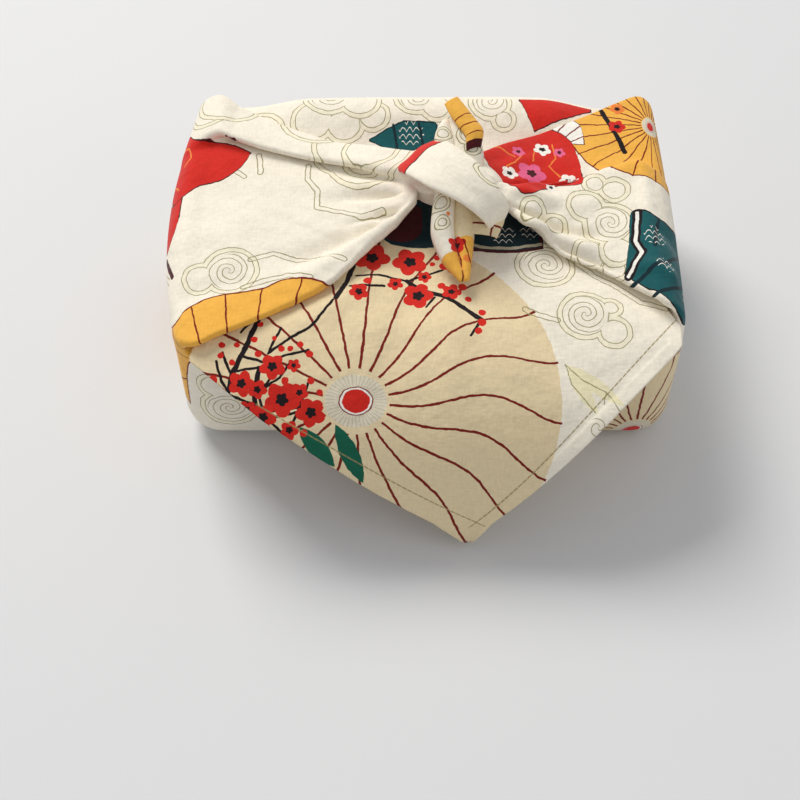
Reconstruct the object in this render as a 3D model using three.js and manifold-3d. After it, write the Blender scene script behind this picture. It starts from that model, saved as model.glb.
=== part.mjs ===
// A square wrapping cloth folded and tied as a carrying bundle, empty inside.
// Millimetres, +Z up. X runs along the bundle's length, the hanging corner points to -Y.
import * as THREE from 'three';
import { mergeVertices } from 'three/addons/utils/BufferGeometryUtils.js';
import Module from 'manifold-3d';

const wasm = await Module();
wasm.setup();

// Driving dimensions
const CLOTH = 1.0;                 // thickness of the folded cloth
const TONGUE = 0.6;                // thickness where one panel runs inside another
const PITCH = 2.4;                 // from one layer to the next
const TURN_RADIUS = PITCH / 2;     // middle of a sharp fold
const WING_TURN = 1.0;             // middle of a fold in the wings
const FLOOR_LEVEL = CLOTH / 2;     // middle of the sheet that lies on the floor
const NEAR_FLAP_LEVEL = 59.2;      // first corner folded over the top
const FAR_FLAP_LEVEL = NEAR_FLAP_LEVEL + PITCH;
const WALL_Y = 59.5;               // front and back walls
const FOOT_RADIUS = 12;            // rounding from the bottom into the walls
const TOP_RADIUS = 7;              // rounding from the walls into the top
const STRIP_FLAT = 77.5;           // half length before the strip curls round the corners
const STRIP_CURL = 10.8;           // radius of that curl
const WING_WALL_X = 91.5;          // end walls
const WING_CORNER_Y = 48.7;        // where the end wall starts to turn the corner
const WING_CORNER = 14;            // radius of that corner
const WING_FOOT = 11;              // rounding from the bottom into the end walls
const FLAP_START_Y = -52;          // where the top panel starts to fall forward
const FLAP_RADIUS = 61.3;          // its curve from nearly flat to nearly upright
const FLAP_TURN = 80.4;
const FLAP_TILT = 5.5;             // slope at its start, in degrees
const NEAR_RUN = 103;              // near corner from the rim to the fold in it
const NEAR_RETURN = 78;            // from that fold back to its tip
const BAND_THICKNESS = 2.4;        // folded band over the knot
const LEAF_THICKNESS = 1.4;        // free ends of the knot
const KNOT = new THREE.Vector3(11, -2, 77);
const CORE_REACH = new THREE.Vector3(17, 9.5, 7);
const BAND_REACH = 20.5;           // half length and height of the loop the band makes
const BAND_HEIGHT = 10.5;

const UP = new THREE.Vector3(0, 0, 1);
const radians = THREE.MathUtils.degToRad;
const degrees = THREE.MathUtils.radToDeg;

// A table of named columns: the first row holds the names, 'at' orders the rows
function table(names, ...rows) {
  return rows.map((row) => Object.fromEntries(names.map((name, i) => [name, row[i]])));
}

function rowBefore(rows, at) {
  let i = 0;
  while (i < rows.length - 2 && rows[i + 1].at <= at) {
    i += 1;
  }
  return i;
}

// Straight lines between the rows of one column
function linear(rows, name, at) {
  const i = rowBefore(rows, at);
  const t = THREE.MathUtils.clamp((at - rows[i].at) / (rows[i + 1].at - rows[i].at), 0, 1);
  return rows[i][name] + t * (rows[i + 1][name] - rows[i][name]);
}

// A smooth curve through the rows of one column, which never overshoots them
function smooth(rows, name, at) {
  const i = rowBefore(rows, at);
  const rise = (k) => (rows[k + 1][name] - rows[k][name]) / (rows[k + 1].at - rows[k].at);
  const slope = (k) => {
    if (k === 0 || k === rows.length - 1) {
      return rise(Math.max(k - 1, 0));
    }
    const before = rise(k - 1);
    const after = rise(k);
    return before * after > 0 ? (2 * before * after) / (before + after) : 0;
  };
  const span = rows[i + 1].at - rows[i].at;
  const t = THREE.MathUtils.clamp((at - rows[i].at) / span, 0, 1);
  const t2 = t * t;
  const t3 = t2 * t;
  return (2 * t3 - 3 * t2 + 1) * rows[i][name]
    + (t3 - 2 * t2 + t) * span * slope(i)
    + (3 * t2 - 2 * t3) * rows[i + 1][name]
    + (t3 - t2) * span * slope(i + 1);
}

// A flat path made of pieces, each with a length and a turn in degrees (left turns are positive)
class Path {
  constructor(start, heading, pieces) {
    this.knots = [{ at: 0, x: start[0], y: start[1], heading: radians(heading) }];
    pieces.forEach((piece) => {
      const last = this.knots.at(-1);
      last.turn = radians(piece.turn ?? 0);
      last.length = piece.length ?? Math.abs(last.turn) * piece.radius;
      const end = Path.step(last, last.length);
      this.knots.push({ at: last.at + last.length, ...end });
    });
    this.length = this.knots.at(-1).at;
  }

  static step(knot, distance) {
    const turned = knot.turn * (distance / knot.length);
    if (Math.abs(turned) < 1e-9) {
      const x = knot.x + distance * Math.cos(knot.heading);
      const y = knot.y + distance * Math.sin(knot.heading);
      return { x, y, heading: knot.heading };
    }
    const radius = distance / turned;
    const heading = knot.heading + turned;
    const x = knot.x + radius * (Math.sin(heading) - Math.sin(knot.heading));
    const y = knot.y - radius * (Math.cos(heading) - Math.cos(knot.heading));
    return { x, y, heading };
  }

  at(distance) {
    const d = THREE.MathUtils.clamp(distance, 0, this.length);
    let i = 0;
    while (i < this.knots.length - 2 && this.knots[i + 1].at <= d) {
      i += 1;
    }
    return Path.step(this.knots[i], d - this.knots[i].at);
  }

  // Distances that share each piece out in its own number of steps
  stations(steps) {
    const marks = [0];
    steps.forEach((count, i) => {
      const from = this.knots[i].at;
      const to = this.knots[i + 1].at;
      for (let k = 1; k <= count; k += 1) {
        marks.push(from + (k / count) * (to - from));
      }
    });
    return marks;
  }
}

// A closed sheet: a flat slab whose points are carried to place(column, row), in grid steps
function sheet(columns, rows, place, thickness) {
  const slab = new THREE.BoxGeometry(1, 1, 1, columns, rows, 1);
  const points = slab.attributes.position;
  const nudge = 0.02;
  matchDiagonals(slab);
  const between = (low, high) => new THREE.Vector3().subVectors(high, low);
  for (let i = 0; i < points.count; i += 1) {
    const c = (points.getX(i) + 0.5) * columns;
    const r = (points.getY(i) + 0.5) * rows;
    const c0 = Math.max(c - nudge, 0);
    const c1 = Math.min(c + nudge, columns);
    const r0 = Math.max(r - nudge, 0);
    const r1 = Math.min(r + nudge, rows);
    const across = between(place(c0, r), place(c1, r));
    const along = between(place(c, r0), place(c, r1));
    const normal = across.cross(along).normalize();
    const half = thickness(c, r) / 2;
    const point = place(c, r).addScaledVector(normal, points.getZ(i) > 0 ? half : -half);
    points.setXYZ(i, point.x, point.y, point.z);
  }
  return solidOf(slab);
}

// A slab's upper and lower faces split each square along the same diagonal, so that a
// twisted square keeps its thickness
function matchDiagonals(slab) {
  const lower = slab.groups.at(-1);
  for (let i = lower.start; i < lower.start + lower.count; i += 6) {
    const [a, b, d, , c] = slab.index.array.slice(i, i + 5);
    slab.index.array.set([a, b, c, a, c, d], i);
  }
}

function solidOf(geometry) {
  geometry.deleteAttribute('normal');
  geometry.deleteAttribute('uv');
  const merged = mergeVertices(geometry, 1e-4);
  const mesh = new wasm.Mesh({
    numProp: 3,
    vertProperties: new Float32Array(merged.attributes.position.array),
    triVerts: new Uint32Array(merged.index.array),
  });
  return new wasm.Manifold(mesh);
}

// A value between the marks of a list, for a place given in grid steps
function mark(marks, step) {
  const i = Math.min(Math.floor(step), marks.length - 2);
  return marks[i] + (step - i) * (marks[i + 1] - marks[i]);
}

const easeIn = THREE.MathUtils.smoothstep;

// The lengthwise strip: near corner folded over the top, front wall, bottom, back wall,
// top panel and the far corner that hangs down at the front.
const NEAR_PIECES = [
  { length: NEAR_RETURN },
  { turn: 180, radius: TURN_RADIUS },
  { length: NEAR_RUN },
  { turn: 90, radius: TOP_RADIUS },
  { length: NEAR_FLAP_LEVEL - TOP_RADIUS - FOOT_RADIUS - FLOOR_LEVEL },
  { turn: 90, radius: FOOT_RADIUS },
  { length: WALL_Y - FOOT_RADIUS },
];
const FAR_PIECES = [
  { length: WALL_Y - FOOT_RADIUS },
  { turn: 90, radius: FOOT_RADIUS },
  { length: FAR_FLAP_LEVEL - TOP_RADIUS - FOOT_RADIUS - FLOOR_LEVEL },
  { turn: 90, radius: TOP_RADIUS },
  { length: WALL_Y - TOP_RADIUS - FLAP_START_Y },
  { turn: FLAP_TILT, radius: 20 },
  { turn: FLAP_TURN, radius: FLAP_RADIUS },
];
const STRIP_STEPS = [3, 3, 4, 3, 2, 3, 3, 3, 3, 2, 3, 6, 1, 12];
const STRIP_COLUMNS = 12;
const NEAR_TIP_Y = -(WALL_Y - TOP_RADIUS) + NEAR_RUN - NEAR_RETURN;
const strip = new Path([NEAR_TIP_Y, NEAR_FLAP_LEVEL - PITCH], 0, [...NEAR_PIECES, ...FAR_PIECES]);
const BOTTOM_MIDDLE = strip.knots[NEAR_PIECES.length].at;
const FLAP_FROM = strip.knots[NEAR_PIECES.length + 5].at;

// Cut edges of the strip, by the distance from the middle of the bottom
const flapMark = FLAP_FROM - BOTTOM_MIDDLE;
const STRIP_EDGES = table(
  ['at', 'left', 'right'],
  [-BOTTOM_MIDDLE, -9, 9],
  [-BOTTOM_MIDDLE + NEAR_RETURN - 8, -76, 76],
  [-122, -76, 76],
  [-96, -88, 88],
  [96, -88, 88],
  [122, -84, 84],
  [flapMark - 4, -80, 84],
  [flapMark + 4, -80, 88],
  [flapMark + 11.5, -82, 88],
  [flapMark + 16.7, -83.6, 83.4],
  [flapMark + 37.6, -58.1, 62.6],
  [flapMark + 58.5, -27.6, 41.5],
  [flapMark + 77.2, 1.5, 22.8],
  [flapMark + 87.9, 12.5, 16],
);

// Soft unevenness of the panels, strongest on the walls
function sag(x, along) {
  return 0.5 * Math.sin(x / 17 + along / 29) + 0.35 * Math.sin(x / 9 - along / 23);
}

// The outer two columns at each side are narrow, for the curl round the corners
function columnShare(column) {
  const narrow = 0.03;
  const fromSide = Math.min(column, STRIP_COLUMNS - column);
  const wide = (1 - 4 * narrow) / (STRIP_COLUMNS - 4);
  const share = fromSide <= 2 ? narrow * fromSide : 2 * narrow + wide * (fromSide - 2);
  return column < STRIP_COLUMNS / 2 ? share : 1 - share;
}

function stripPlace(marks, column, row) {
  const distance = mark(marks, row);
  const along = distance - BOTTOM_MIDDLE;
  const left = linear(STRIP_EDGES, 'left', along);
  const right = linear(STRIP_EDGES, 'right', along);
  const across = left + columnShare(column) * (right - left);
  const curl = 1 - easeIn(Math.abs(along), 92, 120);
  const beyond = Math.max(Math.abs(across) - STRIP_FLAT, 0) / STRIP_CURL;
  const x = Math.sign(across) * (Math.min(Math.abs(across), STRIP_FLAT)
    + STRIP_CURL * (curl * Math.sin(beyond) + (1 - curl) * beyond));
  const spot = strip.at(distance);
  const offFloor = easeIn(Math.abs(along), WALL_Y, WALL_Y + 30);
  const onTop = easeIn(along, 112, 130) * (1 - easeIn(along, flapMark, flapMark + 20));
  const wave = sag(x, along) * offFloor * (1 - onTop) * easeIn(along, -124, -112);
  const depth = curl * STRIP_CURL * (1 - Math.cos(beyond)) + 0.6 * wave * (1 - curl * beyond);
  const y = spot.x - depth * Math.sin(spot.heading);
  const z = spot.y + depth * Math.cos(spot.heading);
  return new THREE.Vector3(x, y, z);
}

function buildStrip() {
  const marks = strip.stations(STRIP_STEPS);
  const place = (column, row) => stripPlace(marks, column, row);
  return sheet(STRIP_COLUMNS, marks.length - 1, place, () => CLOTH);
}

// A wing: from under the bottom up the end wall, over the rim and along the top to the knot.
// Each row of the table is a section from its far (back) edge to its near (front) edge.
//   farX..nearZ   the two ends of the section's straight part
//   tilt          0 where the section faces outward on the wall, 90 where it faces up
//   ..Bend/Turn   length and angle of the cloth that turns in at each edge, then its run
//   crease        where the pleat lies, from 0 at the far edge to 1 at the near edge
//   pleat, tuck   how far the pleat is folded, from 0 to 1, and the length of its return
//   ripple        height of the small gathers that run to the knot
//   bulge         how far the middle of the end wall swells out
const WING_NAMES = ['at', 'farX', 'farY', 'farZ', 'nearX', 'nearY', 'nearZ', 'tilt',
  'farBend', 'farTurn', 'farRun', 'nearBend', 'nearTurn', 'nearRun',
  'crease', 'pleat', 'tuck', 'ripple', 'bulge'];
const QUARTER = Math.PI / 2;
const FOLD_LENGTH = Math.PI * WING_TURN;

// Rows of the wall, the same on both wings but for the swell
function wallRows(bulge) {
  const rows = [[-0.5, STRIP_FLAT - 3, FLOOR_LEVEL, 1, 41.3, 2]];
  for (let step = 0; step <= 4; step += 1) {
    const angle = (step / 4) * QUARTER;
    const inward = WING_FOOT * (1 - Math.sin(angle));
    const height = FLOOR_LEVEL + WING_FOOT * (1 - Math.cos(angle));
    rows.push([step / 4, WING_WALL_X - inward, height, WING_CORNER - inward, WING_CORNER_Y, 10]);
  }
  rows.push([2, WING_WALL_X, 26, WING_CORNER, WING_CORNER_Y, 10]);
  rows.push([3, WING_WALL_X, 42, WING_CORNER, WING_CORNER_Y, 10]);
  return rows.map(([at, x, z, radius, y, run]) => [at, x, y, z, x, -y, z, 0,
    radius * QUARTER, 90, run, radius * QUARTER, 90, run, 0.2, 0, 3, 0, bulge * Math.max(at, 0) / 3]);
}

const LEFT_WING = table(
  WING_NAMES,
  ...wallRows(6.5),
  [3.5, 91, 50, 55, 91, -52, 55, 22, 16, 90, 6, 16, 85, 3, 0.19, 0.03, 0.6, 0, 6],
  [4, 88, 54, 62.8, 88, -59.5, 61.6, 62, 8, 130, 3, 7, 125, 2, 0.18, 0.15, 0.6, 0, 3],
  [4.5, 82, 55, 65, 82, -64, 64, 90, FOLD_LENGTH, 176, 2.5, FOLD_LENGTH, 165, 2, 0.17, 0.5, 1, 0, 0],
  [5.2, 73, 50, 65.2, 73, -60, 65, 90, FOLD_LENGTH, 178, 3, FOLD_LENGTH, 165, 3, 0.17, 0.95, 3, 0.1, 0],
  [6, 62, 43.5, 65.2, 61, -54, 65.2, 90, FOLD_LENGTH, 178, 3, FOLD_LENGTH, 160, 3, 0.17, 1, 7, 0.2, 0],
  [8, 38, 31, 66, 37, -39, 66, 90, FOLD_LENGTH, 170, 2, FOLD_LENGTH, 145, 2, 0.17, 1, 4, 0.5, 0],
  [10, 14, 19, 71, 14, -13.5, 71, 90, FOLD_LENGTH, 120, 1, FOLD_LENGTH, 110, 1, 0.33, 0.6, 0.6, 0.6, 0],
  [11, 2, 12, 76, 4, -5, 76, 90, FOLD_LENGTH, 60, 1, FOLD_LENGTH, 60, 1, 0.5, 0.3, 0.6, 0.3, 0],
);

const RIGHT_WING = table(
  WING_NAMES,
  ...wallRows(1),
  [3.5, 91, 51, 55, 91, -47.5, 54.5, 22, 16, 90, 6, 14, 85, 3, 0.34, 0.03, 0.6, 0, 1],
  [4, 88.5, 56, 62.8, 88.5, -49.5, 62, 62, 8, 130, 3, 5, 120, 2, 0.36, 0.15, 0.6, 0, 0.5],
  [4.5, 84, 58, 65, 84, -49.5, 64.4, 90, FOLD_LENGTH, 176, 2.5, FOLD_LENGTH, 150, 2, 0.37, 0.5, 1, 0, 0],
  [5.2, 75.5, 54, 65.2, 76.5, -43, 65, 90, FOLD_LENGTH, 178, 3, FOLD_LENGTH, 160, 3, 0.4, 0.95, 3, 0.1, 0],
  [6, 67, 49, 65.2, 68, -36, 65.2, 90, FOLD_LENGTH, 178, 3, FOLD_LENGTH, 160, 3, 0.43, 1, 7, 0.2, 0],
  [8, 47, 37, 66, 48, -24, 66, 90, FOLD_LENGTH, 170, 2, FOLD_LENGTH, 145, 2, 0.5, 1, 4, 0.5, 0],
  [10, 28, 24, 71, 31, -9, 71, 90, FOLD_LENGTH, 120, 1, FOLD_LENGTH, 110, 1, 0.66, 0.6, 0.6, 0.6, 0],
  [11, 18, 13, 76, 22, -4, 76, 90, FOLD_LENGTH, 60, 1, FOLD_LENGTH, 60, 1, 0.6, 0.3, 0.6, 0.3, 0],
);

const WING_ROWS = [-0.5, 0, 0.25, 0.5, 0.75, 1, 2, 3, 3.25, 3.5, 3.75, 4, 4.25, 4.5, 4.85, 5.2,
  6, 7, 8, 9, 10, 11];
const WING_STEPS = [1, 4, 4, 4, 1, 4, 6, 4, 1];

// One section of a wing in its own plane: x across, y out of the cloth. The far edge's fold
// is laid out first, so that the section's straight part starts at the far end.
function wingSection(value, width, farOnTop) {
  const fold = 180 * value('pleat') * (farOnTop ? -1 : 1);
  const crease = value('crease') * width;
  const first = farOnTop ? crease : crease + value('tuck');
  const drift = new Path([0, 0], 0, [
    { length: first },
    { length: FOLD_LENGTH, turn: fold },
    { length: value('tuck') },
    { length: FOLD_LENGTH, turn: -fold },
  ]);
  const start = drift.at(drift.length);
  const lead = new Path([0, 0], 0, [
    { length: value('farRun') },
    { length: value('farBend'), turn: -value('farTurn') },
  ]);
  const leadEnd = lead.at(lead.length);
  const heading = -degrees(leadEnd.heading);
  const c = Math.cos(radians(heading));
  const s = Math.sin(radians(heading));
  const origin = [-(leadEnd.x * c - leadEnd.y * s), -(leadEnd.x * s + leadEnd.y * c)];
  if (farOnTop) {
    origin[1] -= start.y;
  }
  return new Path(origin, heading, [
    { length: value('farRun') },
    { length: value('farBend'), turn: -value('farTurn') },
    { length: first },
    { length: FOLD_LENGTH, turn: fold },
    { length: value('tuck') },
    { length: FOLD_LENGTH, turn: -fold },
    { length: width - start.x },
    { length: value('nearBend'), turn: -value('nearTurn') },
    { length: value('nearRun') },
  ]);
}

// The band that lies on top sinks at its outer edge, and gathers run towards the knot
function wingRelief(value, width, farOnTop, across) {
  const t = THREE.MathUtils.clamp(across / width, 0, 1);
  const crease = value('crease');
  const outward = farOnTop ? (crease - t) / crease : (t - crease) / (1 - crease);
  const sink = 3.2 * value('pleat') * THREE.MathUtils.clamp(outward, 0, 1) ** 1.5;
  const gathers = Math.sin(across * (farOnTop ? 0.72 : 0.66) + 1.1);
  return value('ripple') * gathers + value('bulge') * 4 * t * (1 - t) - sink;
}

function wingPlace(rows, side, farOnTop, column, row) {
  const at = mark(WING_ROWS, row);
  const read = at < 3 ? linear : smooth;
  const value = (name) => read(rows, name, at);
  const far = new THREE.Vector3(side * value('farX'), value('farY'), value('farZ'));
  const near = new THREE.Vector3(side * value('nearX'), value('nearY'), value('nearZ'));
  const along = new THREE.Vector3().subVectors(near, far);
  const width = along.length();
  along.divideScalar(width);
  const tilt = radians(value('tilt'));
  const out = new THREE.Vector3(side * Math.cos(tilt), 0, Math.sin(tilt));
  out.addScaledVector(along, -out.dot(along)).normalize();
  const section = wingSection(value, width, farOnTop);
  const spot = section.at(mark(section.stations(WING_STEPS), column));
  const height = spot.y + wingRelief(value, width, farOnTop, spot.x);
  return far.addScaledVector(along, spot.x).addScaledVector(out, height);
}

function buildWing(rows, side, farOnTop) {
  const columns = WING_STEPS.reduce((sum, count) => sum + count, 0);
  const place = (column, row) => {
    const step = side < 0 ? column : columns - column;
    return wingPlace(rows, side, farOnTop, step, row);
  };
  const thickness = (column, row) => (row < 1.5 ? TONGUE : CLOTH);
  return sheet(columns, WING_ROWS.length - 1, place, thickness);
}

// The knot: a gathered core where both wings meet, with a flat band folded over it
const BAND_ALONG = new THREE.Vector3(0.73, -0.68, 0).normalize();
const BAND_ACROSS = new THREE.Vector3(0.68, 0.73, 0).normalize();

function buildCore() {
  const ball = new THREE.SphereGeometry(1, 22, 12);
  const points = ball.attributes.position;
  for (let i = 0; i < points.count; i += 1) {
    const along = points.getY(i);
    const angle = Math.atan2(points.getZ(i), points.getX(i));
    const waist = Math.sqrt(Math.max(1 - along * along, 0));
    const radius = waist * (1 + 0.1 * Math.sin(5 * angle) * waist);
    const x = KNOT.x - along * CORE_REACH.x;
    const y = KNOT.y + 2 + CORE_REACH.y * radius * Math.cos(angle);
    const z = KNOT.z - 1 + CORE_REACH.z * radius * Math.sin(angle) - 2.5 * along * along;
    points.setXYZ(i, x, y, z);
  }
  return solidOf(ball);
}

// The band's rows: angle round the loop, width, and how far it is shifted and swells
const BAND_STEPS = 16;
const BAND_COLUMNS = 6;
const BAND_ROWS = table(
  ['at', 'angle', 'width', 'shift', 'lift'],
  [0, -35, 8, 0, 0],
  [2, 0, 10, -0.5, 0],
  [5, 52, 17, -2, 0.5],
  [8, 95, 22, -2, 1],
  [11, 140, 19, -0.5, 0.5],
  [14, 185, 13, 0, 0],
  [BAND_STEPS, 220, 9, 0, 0],
);

function buildBand() {
  const place = (column, row) => {
    const angle = radians(smooth(BAND_ROWS, 'angle', row));
    const width = smooth(BAND_ROWS, 'width', row);
    const fromMiddle = column / BAND_COLUMNS - 0.5;
    const across = fromMiddle * width + smooth(BAND_ROWS, 'shift', row);
    const crown = smooth(BAND_ROWS, 'lift', row) * (1 - (2 * fromMiddle) ** 2);
    return KNOT.clone()
      .addScaledVector(BAND_ALONG, (BAND_REACH + crown) * Math.cos(angle))
      .addScaledVector(BAND_ACROSS, across)
      .addScaledVector(UP, (BAND_HEIGHT + crown) * Math.sin(angle) - 0.5);
  };
  return sheet(BAND_COLUMNS, BAND_STEPS, place, () => BAND_THICKNESS);
}

// A free end: a leaf of cloth folded along its middle, from inside the knot to its tip
const FRONT_TAIL = table(
  ['at', 'x', 'y', 'z', 'half', 'fold', 'turn'],
  [0, 11, 2, 82, 6, 2, 0],
  [2, 9, -11, 80, 8, 4, 6],
  [4, 8.5, -20, 75, 8.8, 4.6, 10],
  [6, 10, -30, 70.5, 6.4, 3.6, 14],
  [8, 12.7, -40, 67.5, 1.6, 0.8, 16],
);
const THIRD_LEAF = table(
  ['at', 'x', 'y', 'z', 'half', 'fold', 'turn'],
  [0, 14, 0, 81, 5, 2, -14],
  [2, 16.5, -8, 80, 6, 2.4, -14],
  [4, 18, -16, 77, 5.5, 2.2, -14],
  [6, 17.5, -23, 73.5, 1.6, 0.8, -14],
);
const BACK_TAIL = table(
  ['at', 'x', 'y', 'z', 'half', 'fold', 'turn'],
  [0, 12, 2, 80, 7, 2, 0],
  [2, 14.5, 11, 82.5, 8, 3.2, 4],
  [4, 15, 18, 85.5, 7.6, 3.4, 8],
  [6, 13.8, 23.5, 88.3, 5.4, 2.4, 12],
  [8, 12, 28, 90.6, 2.4, 0.8, 14],
);

function buildLeaf(rows, columns) {
  const last = rows.at(-1).at;
  const place = (column, row) => {
    const value = (name) => smooth(rows, name, row);
    const t = (column / columns) * 2 - 1;
    const turn = radians(value('turn'));
    const across = t * value('half');
    const lift = value('fold') * (1 - Math.abs(t));
    return new THREE.Vector3(
      value('x') + across * Math.cos(turn),
      value('y') + across * Math.sin(turn),
      value('z') + lift - 0.5 * value('fold'),
    );
  };
  return sheet(columns, last, place, () => LEAF_THICKNESS);
}

const pieces = [
  buildStrip(),
  buildWing(LEFT_WING, -1, true),
  buildWing(RIGHT_WING, 1, false),
  buildCore(),
  buildBand(),
  buildLeaf(FRONT_TAIL, 8),
  buildLeaf(THIRD_LEAF, 6),
  buildLeaf(BACK_TAIL, 8),
];
const cloth = pieces.reduce((whole, piece) => whole.add(piece));

// Joining leaves needle triangles, where two surfaces only just cross. An edge shorter than
// SHORT is pulled together, and a triangle lower than FLAT gives its long edge away.
const SHORT = 0.02;
const FLAT = 0.004;

function withEdge(faces, near, a, b) {
  return near.find((f) => faces[f] && faces[f].includes(a) && faces[f].includes(b)
    && faces[f][(faces[f].indexOf(a) + 1) % 3] === b);
}

function pullTogether(faces, around, keep, drop) {
  const ring = (v) => new Set(around[v].flatMap((f) => faces[f]));
  const shared = [...ring(keep)].filter((v) => ring(drop).has(v) && v !== keep && v !== drop);
  if (shared.length !== 2) {
    return false;
  }
  around[drop].forEach((f) => {
    faces[f] = faces[f].includes(keep) ? null : faces[f].map((v) => (v === drop ? keep : v));
  });
  return true;
}

function turnEdge(faces, around, a, b, c) {
  const here = withEdge(faces, around[a], a, b);
  const there = withEdge(faces, around[a], b, a);
  const d = faces[there].find((v) => v !== a && v !== b);
  const joined = around[c].some((f) => faces[f].includes(d));
  if (joined) {
    return false;
  }
  faces[here] = [c, a, d];
  faces[there] = [d, b, c];
  return true;
}

function withoutNeedles(points, triangles) {
  let faces = triangles;
  for (let changes = 1, pass = 0; changes > 0 && pass < 20; pass += 1) {
    changes = 0;
    const around = points.map(() => []);
    faces.forEach((face, f) => face.forEach((v) => around[v].push(f)));
    const touched = new Set();
    const start = faces.length;
    for (let f = 0; f < start; f += 1) {
      const face = faces[f];
      if (!face || face.some((v) => touched.has(v))) {
        continue;
      }
      const corner = face.map((v) => points[v]);
      const sides = [0, 1, 2].map((k) => corner[k].distanceTo(corner[(k + 1) % 3]));
      const shortest = sides.indexOf(Math.min(...sides));
      const longest = sides.indexOf(Math.max(...sides));
      const height = (2 * new THREE.Triangle(...corner).getArea()) / sides[longest];
      const turned = (k) => [face[k], face[(k + 1) % 3], face[(k + 2) % 3]];
      const ring = face.flatMap((v) => around[v].flatMap((g) => faces[g] ?? []));
      if (ring.some((v) => touched.has(v))) {
        continue;
      }
      let changed = false;
      if (sides[shortest] < SHORT) {
        changed = pullTogether(faces, around, ...turned(shortest).slice(0, 2));
      } else if (height < FLAT) {
        changed = turnEdge(faces, around, ...turned(longest));
      }
      if (changed) {
        ring.forEach((v) => touched.add(v));
        changes += 1;
      }
    }
    faces = faces.filter(Boolean);
  }
  return faces;
}

function meshOf(solid, material) {
  const { vertProperties, triVerts, numProp } = solid.getMesh();
  const points = [];
  for (let i = 0; i < vertProperties.length; i += numProp) {
    points.push(new THREE.Vector3().fromArray(vertProperties, i));
  }
  const triangles = [];
  for (let i = 0; i < triVerts.length; i += 3) {
    triangles.push([...triVerts.subarray(i, i + 3)]);
  }
  const faces = withoutNeedles(points, triangles);
  const geometry = new THREE.BufferGeometry().setFromPoints(points);
  geometry.setIndex(faces.flat());
  geometry.computeVertexNormals();
  return new THREE.Mesh(geometry, material);
}

const cotton = new THREE.MeshStandardMaterial({ color: '#ebe1c6', roughness: 0.92, metalness: 0 });
const body = meshOf(cloth, cotton);
body.name = 'cloth';

// The middle of the whole bundle's bottom becomes the origin
const group = new THREE.Group();
group.add(body);
const box = new THREE.Box3().setFromObject(body);
group.position.set(-(box.min.x + box.max.x) / 2, -(box.min.y + box.max.y) / 2, -box.min.z);

export default group;
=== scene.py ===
"""A square printed cotton wrapping cloth, folded round a box shape and tied on top.

The cloth is built in the bundle's own millimetres (X along its length, Y away from the viewer,
Z up, origin under the middle of the box shape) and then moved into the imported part's frame.
"""
import logging
import math
from collections.abc import Callable, Sequence
from dataclasses import dataclass, field
from enum import Enum, IntEnum

import bmesh
import bpy
import numpy as np
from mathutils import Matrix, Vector


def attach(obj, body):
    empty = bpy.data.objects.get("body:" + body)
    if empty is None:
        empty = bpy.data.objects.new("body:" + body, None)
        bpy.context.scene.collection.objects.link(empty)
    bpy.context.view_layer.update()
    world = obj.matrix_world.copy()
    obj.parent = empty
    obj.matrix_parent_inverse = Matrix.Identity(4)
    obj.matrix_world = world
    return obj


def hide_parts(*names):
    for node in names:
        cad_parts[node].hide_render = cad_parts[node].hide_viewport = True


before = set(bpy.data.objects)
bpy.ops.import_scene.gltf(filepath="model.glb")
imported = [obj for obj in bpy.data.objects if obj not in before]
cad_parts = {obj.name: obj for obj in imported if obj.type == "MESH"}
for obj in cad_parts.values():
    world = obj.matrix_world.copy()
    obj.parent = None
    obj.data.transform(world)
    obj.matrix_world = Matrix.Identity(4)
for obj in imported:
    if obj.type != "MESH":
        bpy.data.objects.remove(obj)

log = logging.getLogger("wrapping_cloth")
MM = 0.001
FRAME_SHIFT = np.array((2.742, 23.333, 0.0))  # from the box shape's middle to the part's origin
Array = np.ndarray


def smoothstep(low: float, high: float, value: Array | float) -> Array | float:
    """Rise smoothly from 0 at low to 1 at high."""
    t = np.clip((np.asarray(value, float) - low) / (high - low), 0.0, 1.0)
    return t * t * (3 - 2 * t)


class Table:
    """Rows of named columns, read between the rows by the column 'at'."""

    def __init__(self, names: str, *rows: Sequence[float]) -> None:
        """Keep the columns.

        Args:
            names: Column names, parted by spaces; the first is 'at'.
            rows: One sequence of numbers a row.
        """
        self.columns = dict(zip(names.split(), np.array(rows, float).T))
        self.at = self.columns["at"]

    def linear(self, name: str, at: float) -> float:
        """Read a column along straight lines."""
        return float(np.interp(at, self.at, self.columns[name]))

    def smooth(self, name: str, at: float) -> float:
        """Read a column along a smooth curve that never overshoots its rows.

        Args:
            name: The column.
            at: Where to read it.

        Returns:
            The column's value there.
        """
        x, y = self.at, self.columns[name]
        i = int(np.clip(np.searchsorted(x, at, side="right") - 1, 0, len(x) - 2))
        rise = np.diff(y) / np.diff(x)

        def slope(k: int) -> float:
            """Work out a row's slope as the harmonic mean of the rises beside it.

            Args:
                k: The row.

            Returns:
                The slope.
            """
            if k in (0, len(x) - 1):
                return float(rise[max(k - 1, 0)])
            before, after = rise[k - 1], rise[k]
            return float(2 * before * after / (before + after)) if before * after > 0 else 0.0

        span = x[i + 1] - x[i]
        t = float(np.clip((at - x[i]) / span, 0, 1))
        return float((2 * t**3 - 3 * t**2 + 1) * y[i] + (t**3 - 2 * t**2 + t) * span * slope(i)
                     + (3 * t**2 - 2 * t**3) * y[i + 1] + (t**3 - t**2) * span * slope(i + 1))


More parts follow.
